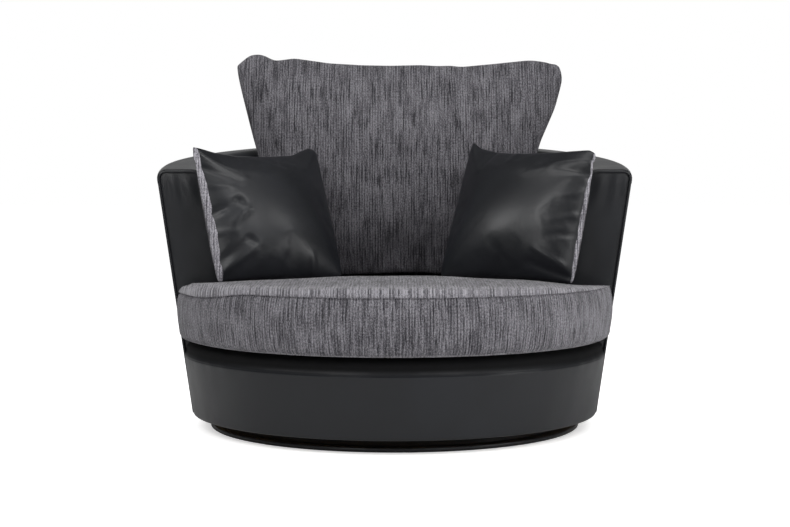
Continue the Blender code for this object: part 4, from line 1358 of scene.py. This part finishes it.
def seat_height(x, y):
    """The seat's top: full in front, dipped under the loose cushions and lower at its ears."""
    full = max(0.0, 1 - (x / SEAT_REACH_X) ** 2) * max(0.0, 1 - ((y - SEAT_CROWN_Y) / SEAT_REACH_Y) ** 2)
    dip = BACK_DIP * eased(y, SEAT_CROWN_Y + 0.02, 0.22)
    dip += SIDE_DIP * eased(abs(x), 0.08, 0.30)
    ear = EAR_DIP["left" if x < 0 else "right"] * eased(abs(x), 0.30, 0.50)
    return SEAT_EDGE + SEAT_CROWN * full - dip - ear


class TUBCHAIR_OT_seat_cushion(ChairOperator, bpy.types.Operator):
    """Sew the boxed seat cushion, with ears in front of the arms"""

    bl_idname = "tub_chair.seat_cushion"
    bl_label = "Seat Cushion"
    OFF_ARMS = 0.016
    OFF_WALL = 0.004
    EAR_CORNER = 0.034
    MIDDLE = (0.0, -0.20)
    BELOW = (0.2, 0.5, 0.8, 0.94)
    ABOVE = (0.975, 0.94, 0.88, 0.80, 0.70, 0.58, 0.45, 0.32, 0.2, 0.1)
    ROLL_POINTS = 11
    BELLY = 0.006
    UNEVEN_TOP = 0.0016

    def side(self, seam, foot, roll):
        """Points (inset, height) from the rounded lower edge over the border and its seam to the top."""
        points = []
        for a in np.linspace(math.pi / 2, 0, 9):
            points.append((foot - foot * math.cos(a), foot - foot * math.sin(a)))
        for share in np.linspace(0, 1, 16)[1:-1]:
            points.append((-self.BELLY * math.sin(math.pi * share), foot + (seam - 0.004 - foot) * share))
        points += [(0.0008, seam - 0.003), (0.0040, seam), (0.0008, seam + 0.003)]
        for a in np.linspace(0.1, math.pi / 2, self.ROLL_POINTS):
            points.append((roll - roll * math.cos(a) * 1.02, seam + 0.002 + roll * math.sin(a) * 0.97))
        return points

    def execute(self, context):
        shell, size = chosen().shell, chosen().cushions
        foot_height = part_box("seat_cushion")[0].z
        ears = outer_radius(deck_top) + size.seat_overhang
        between_arms = inner_radius(deck_top) - self.OFF_WALL
        plan = tub_plan(ears, between_arms, shell.arm_plane - self.OFF_ARMS, self.EAR_CORNER, 90)
        outline = np.array(plan)
        along = np.roll(outline, -1, 0) - np.roll(outline, 1, 0)
        normals = np.column_stack([along[:, 1], -along[:, 0]])
        normals /= np.linalg.norm(normals, axis=1)[:, None]
        middle = np.array(self.MIDDLE)
        seam, roll = size.seat_border, size.seat_roll
        top = seam + 0.002 + roll * 0.97
        border = np.arctan2(outline[:, 0], -outline[:, 1]) * BORDER_RADIUS
        profile = self.side(seam, size.seat_foot_corner, roll)
        rings = []
        for inset, z in profile:
            wave = np.array([self.relief(at, z, seam) for at in border])
            ring = outline - normals * inset + normals * wave[:, None]
            lift = np.array([self.sag(at, z) + self.ear(x, z, seam) for at, (x, _) in zip(border, outline)])
            above = limited((z - seam) / (top - seam))
            settle = np.array([seat_height(*at) - foot_height - top for at in ring]) * above
            rings.append(np.column_stack([ring, foot_height + z + lift + settle]))
        edge, base = rings[-1][:, :2], rings[0][:, :2]
        for share in self.ABOVE:
            ring = middle + (edge - middle) * share
            wave = [self.UNEVEN_TOP * ripple(x * 7, y * 7, 0, 40) * (1 - share) for x, y in ring]
            rings.append(np.column_stack([ring, [seat_height(*at) + rise for at, rise in zip(ring, wave)]]))
        under = []
        for share in self.BELOW:
            ring = middle + (base - middle) * share
            under.append(np.column_stack([ring, np.full(len(ring), foot_height)]))
        points = np.array(under + rings)
        mesh = drawn_to_middle("seat_chenille", points, middle, foot_height, seat_height(*middle))
        piece = add_piece("seat_chenille", mesh, [flat_cord(), round_cord()], "seat_cushion")
        count = len(plan)
        first, stop = len(under) + 3, len(under) + len(profile) - self.ROLL_POINTS - 1
        for face in mesh.polygons[first * count : stop * count]:
            face.material_index = 1
        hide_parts("seat_cushion")
        return {"FINISHED"}

    def relief(self, at, z, seam):
        """Soft bulges of the border between its seams, and puckers beside the upper one."""
        wave = 0.0026 * ripple(at * 7.0, z * 6.0, 0, 41) * math.sin(math.pi * limited(z / seam))
        return wave + 0.0012 * ripple(at * 32.0, z * 9.0, 0, 42) * bell(z - seam, 0.02)

    def ear(self, x, z, seam):
        """The seam hangs lower at the left ear, where the cover is pulled askew."""
        return -0.019 * eased(-x, 0.34, 0.50) * max(0.0, 1 - abs(z - seam) / 0.034)

    def sag(self, at, z):
        """The lower edge hangs unevenly."""
        return 0.0070 * ripple(at * 15.0, 0, 0, 43) * max(0.0, 1 - z / 0.06) * min(1.0, z / 0.010)


def rest_on_seat(points, clearance=0.0010):
    """Lifts what would sink into the seat."""
    for point in points:
        point[2] = max(point[2], seat_height(point[0], point[1]) + clearance)


def hold_before_back(points, clearance=0.005):
    """Keeps a scatter cushion in front of the back cushion, which lifts straight up past it."""
    back = points_of(bpy.data.objects["back_chenille"].data)
    places = np.linspace(back[:, 0].min(), back[:, 0].max(), 50)
    reach = places[1] - places[0]
    fronts = [back[np.abs(back[:, 0] - place) <= reach, 1].min() for place in places]
    most = np.interp(points[:, 0], places, fronts, left=1.0, right=1.0) - clearance
    points[:, 1] = np.minimum(points[:, 1], most)


class TUBCHAIR_OT_back_cushion(ChairOperator, bpy.types.Operator):
    """Fill the tall back cushion, which leans on the rim"""

    bl_idname = "tub_chair.back_cushion"
    bl_label = "Back Cushion"
    CORNERS = ((-0.300, 0.320, 0.366), (0.300, 0.320, 0.366), (-0.455, 0.380, 0.960), (0.474, 0.380, 0.955))
    SIZE = (0.90, 0.62)
    COLUMNS = 66
    ROWS = 48
    SEED = 2
    BOW = 0.075
    BLUNT = 0.010
    # Places along the edge, from -1 to 1, and how far it stands out there
    TOP_EDGE = (
        (-1.0, 0.004), (-0.90, 0.037), (-0.83, 0.039), (-0.75, 0.021), (-0.63, 0.030), (-0.42, 0.0195),
        (-0.24, 0.0175), (-0.11, 0.020), (0.13, 0.019), (0.25, 0.015), (0.32, 0.016), (0.38, 0.011),
        (0.47, 0.014), (0.60, 0.0185), (0.80, 0.0265), (0.90, 0.021), (0.94, 0.015), (0.97, 0.018),
        (1.0, 0.003),
    )
    RIGHT_SIDE = (
        (-1.0, 0.0), (0.30, 0.002), (0.45, 0.009), (0.60, 0.0155), (0.85, 0.0150), (0.93, 0.0085),
        (1.0, 0.0),
    )

    def execute(self, context):
        mesh, starts = sewn_cover("back_chenille", *self.SIZE, self.COLUMNS, self.ROWS, self.SEED)
        piece = add_piece("back_chenille", mesh, [upright_cord()], "back_cushion")
        shares = filled_shares(
            piece, starts, stiffness=45.0, bending=8.0,
            even=0.5, droop=0.0, straight=0.92, straight_foot=0.92,
        )
        placed = press_off_wall(np.array([self.place(*share) for share in shares]))
        rest_on_seat(placed)
        set_points(mesh, placed)
        smooth_cover(piece)
        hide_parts("back_cushion")
        return {"FINISHED"}

    def place(self, u, v, depth):
        """Where a point of the filled cover goes, by its shares from -1 to 1 and its depth."""
        x, y, z = between_corners(u, v, self.CORNERS)
        x += along_edge(v, self.RIGHT_SIDE) * eased(u, 0.2, 1.0)
        rise = along_edge(u, self.TOP_EDGE) * eased(v, 0.1, 1.0)
        blunt = self.BLUNT * (abs(u) * max(0.0, v)) ** 9
        bowed = y - self.BOW * u**2 - depth * chosen().cushions.back_thickness / 2
        return x - math.copysign(blunt, u), bowed, z - 0.6 * blunt + rise


class TUBCHAIR_OT_scatter_cushions(ChairOperator, bpy.types.Operator):
    """Fill the two scatter cushions, leather in front and chenille behind"""

    bl_idname = "tub_chair.scatter_cushions"
    bl_label = "Scatter Cushions"
    CORNERS = {
        "left": (
            (-0.450, -0.190, 0.379), (-0.134, -0.020, 0.385),
            (-0.524, -0.128, 0.738), (-0.215, 0.190, 0.731),
        ),
        "right": (
            (0.115, -0.020, 0.385), (0.455, -0.190, 0.379),
            (0.212, 0.190, 0.753), (0.523, -0.125, 0.726),
        ),
    }
    SIZE = (0.44, 0.40)
    COLUMNS = 64
    ROWS = 58
    SEED = 5
    # Places along the upper edge, from -1 to 1, and how far it dips there
    TOP_DIP = {
        "left": (
            (-1.0, 0.0), (-0.66, 0.10), (-0.33, 0.145), (0.12, 0.145),
            (0.57, 0.118), (0.73, 0.047), (0.86, 0.0), (1.0, 0.02),
        ),
        "right": (
            (-1.0, 0.0), (-0.80, 0.112), (-0.53, 0.148), (-0.25, 0.15),
            (0.31, 0.092), (0.87, 0.011), (1.0, 0.04),
        ),
    }
    # A crease's start and end, each across and up from -1 to 1, then its height and its width
    CREASES = {
        "left": (
            (-0.90, 0.86, -0.44, 0.44, 0.0050, 0.055),
            (-0.94, 0.66, -0.52, 0.34, -0.0050, 0.045),
            (-0.98, 0.38, -0.66, 0.30, 0.0035, 0.040),
            (-0.99, -0.06, -0.60, 0.08, -0.0085, 0.050),
            (-0.60, 0.08, -0.52, -0.06, -0.0060, 0.045),
            (-0.52, -0.06, -0.72, -0.22, 0.0060, 0.050),
            (-0.97, -0.30, -0.70, -0.34, 0.0045, 0.045),
            (-0.92, -0.84, -0.42, -0.56, 0.0070, 0.050),
            (-0.95, -0.70, -0.55, -0.46, -0.0060, 0.045),
            (-0.55, -0.46, -0.40, -0.60, -0.0040, 0.045),
            (0.92, 0.88, 0.60, 0.60, 0.0050, 0.060),
            (0.30, 0.98, 0.24, 0.70, -0.0055, 0.070),
            (0.46, -0.98, 0.40, -0.72, 0.0040, 0.050),
            (-0.08, -0.98, -0.02, -0.74, -0.0040, 0.050),
        ),
        "right": (
            (0.98, 0.62, 0.56, 0.58, -0.0075, 0.055),
            (0.96, 0.78, 0.46, 0.74, 0.0045, 0.060),
            (0.98, 0.34, 0.72, 0.20, 0.0030, 0.045),
            (0.98, -0.02, 0.66, -0.16, 0.0035, 0.045),
            (0.96, -0.30, 0.64, -0.40, -0.0035, 0.045),
            (0.92, -0.90, 0.40, -0.78, -0.0065, 0.045),
            (0.88, -0.78, 0.50, -0.60, 0.0060, 0.050),
            (-0.90, 0.88, -0.66, 0.48, 0.0050, 0.060),
            (-0.54, 0.97, -0.60, 0.60, -0.0060, 0.060),
            (-0.16, 0.97, -0.22, 0.74, 0.0040, 0.055),
        ),
    }

    def execute(self, context):
        for word, hand in (("left", 1), ("right", -1)):
            self.cushion(word, hand)
        return {"FINISHED"}

    def cushion(self, word, hand):
        name = f"scatter_{word}"
        mesh, starts = sewn_cover(name, *self.SIZE, self.COLUMNS, self.ROWS, self.SEED + hand)
        finishes = [black_leather(), upright_cord(), turned_cord()]
        piece = add_piece(name, mesh, finishes, f"scatter_{word}")
        shares = filled_shares(
            piece, starts, stiffness=25.0, bending=0.5,
            even=0.80, droop=0.22, straight=0.80, straight_foot=0.96,
        )
        front_axis = self.front_axis(word)
        placed = np.empty((len(starts), 3))
        for n, (u, v, depth) in enumerate(shares):
            bulge = depth * chosen().cushions.scatter_thickness / 2
            if starts[n, 2] > 0:
                bulge += self.crease(word, u, v)
            dip = along_edge(u, self.TOP_DIP[word]) * eased(v, 0.35, 1.0)
            kept = 1 - 0.035 * abs(u * v) ** 12
            placed[n] = between_corners(u * kept, v * kept - dip, self.CORNERS[word]) + bulge * front_axis
        placed = press_off_wall(placed)
        hold_before_back(placed)
        rest_on_seat(placed)
        set_points(mesh, placed)
        # The outer columns of the leather skin take the turned edge's chenille, painted lighter as a
        # highlight.
        outer_column, strip_width = (0, 2) if hand > 0 else (self.COLUMNS - 1, 1)
        for number, face in enumerate(mesh.polygons):
            side, cell = divmod(number, self.COLUMNS * self.ROWS)
            strip = abs(cell // self.ROWS - outer_column) < strip_width
            face.material_index = 1 if side else 2 if strip else 0
        smooth_cover(piece)
        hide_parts(f"scatter_cushion_{word}")

    def front_axis(self, word):
        """The way that the middle of the cushion's front faces."""
        foot_left, foot_right, top_left, top_right = (np.array(corner) for corner in self.CORNERS[word])
        across = foot_right - foot_left + top_right - top_left
        up = top_left - foot_left + top_right - foot_right
        axis = np.cross(across, up)
        return axis / np.linalg.norm(axis)

    def crease(self, word, u, v):
        """Height of the small folds at a spot on the leather."""
        total = 0.0
        for start_u, start_v, end_u, end_v, height, width in self.CREASES[word]:
            run_u, run_v = end_u - start_u, end_v - start_v
            share = ((u - start_u) * run_u + (v - start_v) * run_v) / (run_u**2 + run_v**2)
            held = limited(share)
            off = math.hypot(u - start_u - held * run_u, v - start_v - held * run_v)
            total += height * bell(off, width) * (1 - 0.6 * held)
        return total


class TUBCHAIR_OT_frame_finishes(ChairOperator, bpy.types.Operator):
    """Give the frame's own boards, springs, screws and bearing their finishes"""

    bl_idname = "tub_chair.frame_finishes"
    bl_label = "Frame Finishes"

    def execute(self, context):
        finishes = {
            "board": sawn_board(),
            "timber": planed_timber(),
            "hardboard": bent_hardboard(),
            "steel": pressed_steel(),
            "zinc": zinc_plate(),
            "nylon": nylon(),
            "black_plastic": black_plastic(),
            "foam": cut_foam(),
            "felt": needle_felt(),
            "black_cloth": black_cloth(),
            "black_leather": black_leather(),
            "grey_chenille": upright_cord(),
        }
        for part in frame["record"]["subparts"]:
            node = frame["nodes"][part["node"]]
            node.data.materials.clear()
            node.data.materials.append(finishes[part["material_slot"]])
        return {"FINISHED"}


class TUBCHAIR_OT_stage(ChairOperator, bpy.types.Operator):
    """Set the floor, the lights and the camera"""

    bl_idname = "tub_chair.stage"
    bl_label = "Stage"
    CAMERA_X = 0.0010
    AIM = Vector((0.0, 0.0, 0.45))
    # Each lamp's name, place, width, height and power in watts
    LAMPS = (
        ("key left", (-1.8, -3.0, 3.3), 1.7, 1.5, 47.0),
        ("key right", (1.8, -3.0, 3.3), 1.7, 1.5, 49.0),
        ("side left", (-2.5, -1.1, 2.5), 0.7, 0.7, 18.0),
        ("side right", (2.5, -1.1, 2.5), 0.7, 0.7, 13.0),
        ("top", (0.0, -0.3, 3.3), 2.4, 1.6, 28.0),
        ("front left", (-1.45, -3.3, 1.3), 0.8, 0.8, 11.0),
        ("front right", (1.65, -3.2, 1.3), 0.8, 0.8, 8.5),
        ("low right", (2.5, -1.4, 0.7), 0.9, 0.9, 12.0),
        ("rear", (0.0, 3.4, 1.25), 6.0, 2.0, 14.0),
    )

    def execute(self, context):
        stage = chosen().stage
        self.floor(stage)
        self.world(context, stage)
        for lamp in self.LAMPS:
            self.lamp(*lamp)
        data = bpy.data.cameras.new("camera")
        data.lens = stage.lens
        data.sensor_width = SENSOR_WIDTH
        camera = bpy.data.objects.new("camera", data)
        context.scene.collection.objects.link(camera)
        camera.location = (self.CAMERA_X, -stage.camera_distance, stage.camera_height)
        camera.rotation_euler = (math.pi / 2 - stage.camera_dip, 0.0, 0.0)
        context.scene.camera = camera
        context.scene.view_settings.view_transform = "Standard"
        return {"FINISHED"}

    def floor(self, stage):
        """A pale floor that looks white beyond the chair, and keeps the chair's shadow."""
        reach = 20
        corners = [(-reach, -reach, 0), (reach, -reach, 0), (reach, reach, 0), (-reach, reach, 0)]
        mesh = mesh_from("floor", corners, [[0, 1, 2, 3]])
        floor = bpy.data.objects.new("floor", mesh)
        bpy.context.scene.collection.objects.link(floor)
        glow = stage.background
        finish = Finish("pale floor", Roughness=0.9, Specular_IOR_Level=0.0, Emission_Strength=glow)
        speck = finish.cloudy(finish.place, 40.0, 2.0)
        seen = finish.node("ShaderNodeLightPath", out="Is Camera Ray")
        x, y, _ = finish.split(finish.place)
        away = finish.step((x * x + y * y) ** 0.5, 0.46, 0.60)
        white = finish.between(away, (0.52, 0.52, 0.52), (1.0, 1.0, 1.0))
        finish.feed(
            Base_Color=finish.between(speck, (0.80, 0.80, 0.80), (0.83, 0.83, 0.83)),
            Emission_Color=finish.between(seen, (0.0, 0.0, 0.0), white),
        )
        mesh.materials.append(finish.material)

    def world(self, context, stage):
        """Soft light from all round, and a white background for the camera and for gloss."""
        world = bpy.data.worlds.new("studio")
        world.use_nodes = True
        tree = world.node_tree
        background = tree.nodes["Background"]
        white = tree.nodes.new("ShaderNodeBackground")
        for shader, strength in ((background, stage.surroundings), (white, stage.background)):
            shader.inputs["Color"].default_value = (1, 1, 1, 1)
            shader.inputs["Strength"].default_value = strength
        path = tree.nodes.new("ShaderNodeLightPath")
        mix = tree.nodes.new("ShaderNodeMixShader")
        reflected = tree.nodes.new("ShaderNodeMath")
        reflected.operation = "ADD"
        tree.links.new(path.outputs["Is Glossy Ray"], reflected.inputs[0])
        tree.links.new(path.outputs["Is Transmission Ray"], reflected.inputs[1])
        seen = tree.nodes.new("ShaderNodeMath")
        seen.operation = "MULTIPLY_ADD"
        tree.links.new(reflected.outputs[0], seen.inputs[0])
        seen.inputs[1].default_value = stage.reflected
        tree.links.new(path.outputs["Is Camera Ray"], seen.inputs[2])
        tree.links.new(seen.outputs[0], mix.inputs[0])
        tree.links.new(background.outputs[0], mix.inputs[1])
        tree.links.new(white.outputs[0], mix.inputs[2])
        tree.links.new(mix.outputs[0], tree.nodes["World Output"].inputs[0])
        context.scene.world = world

    def lamp(self, name, place, width, height, power):
        data = bpy.data.lights.new(name, "AREA")
        data.shape = "RECTANGLE"
        data.size, data.size_y = width, height
        data.energy = power
        lamp = bpy.data.objects.new(name, data)
        bpy.context.scene.collection.objects.link(lamp)
        lamp.location = place
        lamp.visible_camera = False
        lamp.rotation_euler = (self.AIM - Vector(place)).to_track_quat("-Z", "Y").to_euler()


class TUBCHAIR_PT_panel(bpy.types.Panel):
    """The chair's pieces, one button each"""

    bl_idname = "TUBCHAIR_PT_panel"
    bl_label = "Tub Chair"
    bl_space_type = "VIEW_3D"
    bl_region_type = "UI"
    bl_category = "Tub Chair"

    def draw(self, context):
        for operator in OPERATORS:
            self.layout.operator(operator.bl_idname)
        for group in ("shell", "cushions", "finishes", "stage"):
            box = self.layout.box()
            for key in getattr(context.scene.tub_chair, group).__annotations__:
                box.prop(getattr(context.scene.tub_chair, group), key)


OPERATORS = (
    TUBCHAIR_OT_frame_finishes,
    TUBCHAIR_OT_outer_cover,
    TUBCHAIR_OT_inner_cover,
    TUBCHAIR_OT_arm_fronts,
    TUBCHAIR_OT_drum_front,
    TUBCHAIR_OT_plinth_wrap,
    TUBCHAIR_OT_padding,
    TUBCHAIR_OT_seat_cushion,
    TUBCHAIR_OT_back_cushion,
    TUBCHAIR_OT_scatter_cushions,
    TUBCHAIR_OT_stage,
)
CLASSES = (
    ShellSettings,
    CushionSettings,
    FinishSettings,
    StageSettings,
    ChairSettings,
    *OPERATORS,
    TUBCHAIR_PT_panel,
)


def register():
    for kind in CLASSES:
        bpy.utils.register_class(kind)
    bpy.types.Scene.tub_chair = bpy.props.PointerProperty(type=ChairSettings)


def unregister():
    del bpy.types.Scene.tub_chair
    for kind in reversed(CLASSES):
        bpy.utils.unregister_class(kind)


def main():
    register()
    bpy.ops.tub_chair.frame_finishes()
    bpy.ops.tub_chair.outer_cover()
    bpy.ops.tub_chair.inner_cover()
    bpy.ops.tub_chair.arm_fronts()
    bpy.ops.tub_chair.drum_front()
    bpy.ops.tub_chair.plinth_wrap()
    bpy.ops.tub_chair.padding()
    bpy.ops.tub_chair.seat_cushion()
    bpy.ops.tub_chair.back_cushion()
    bpy.ops.tub_chair.scatter_cushions()
    bpy.ops.tub_chair.stage()


if __name__ == "__main__":
    main()
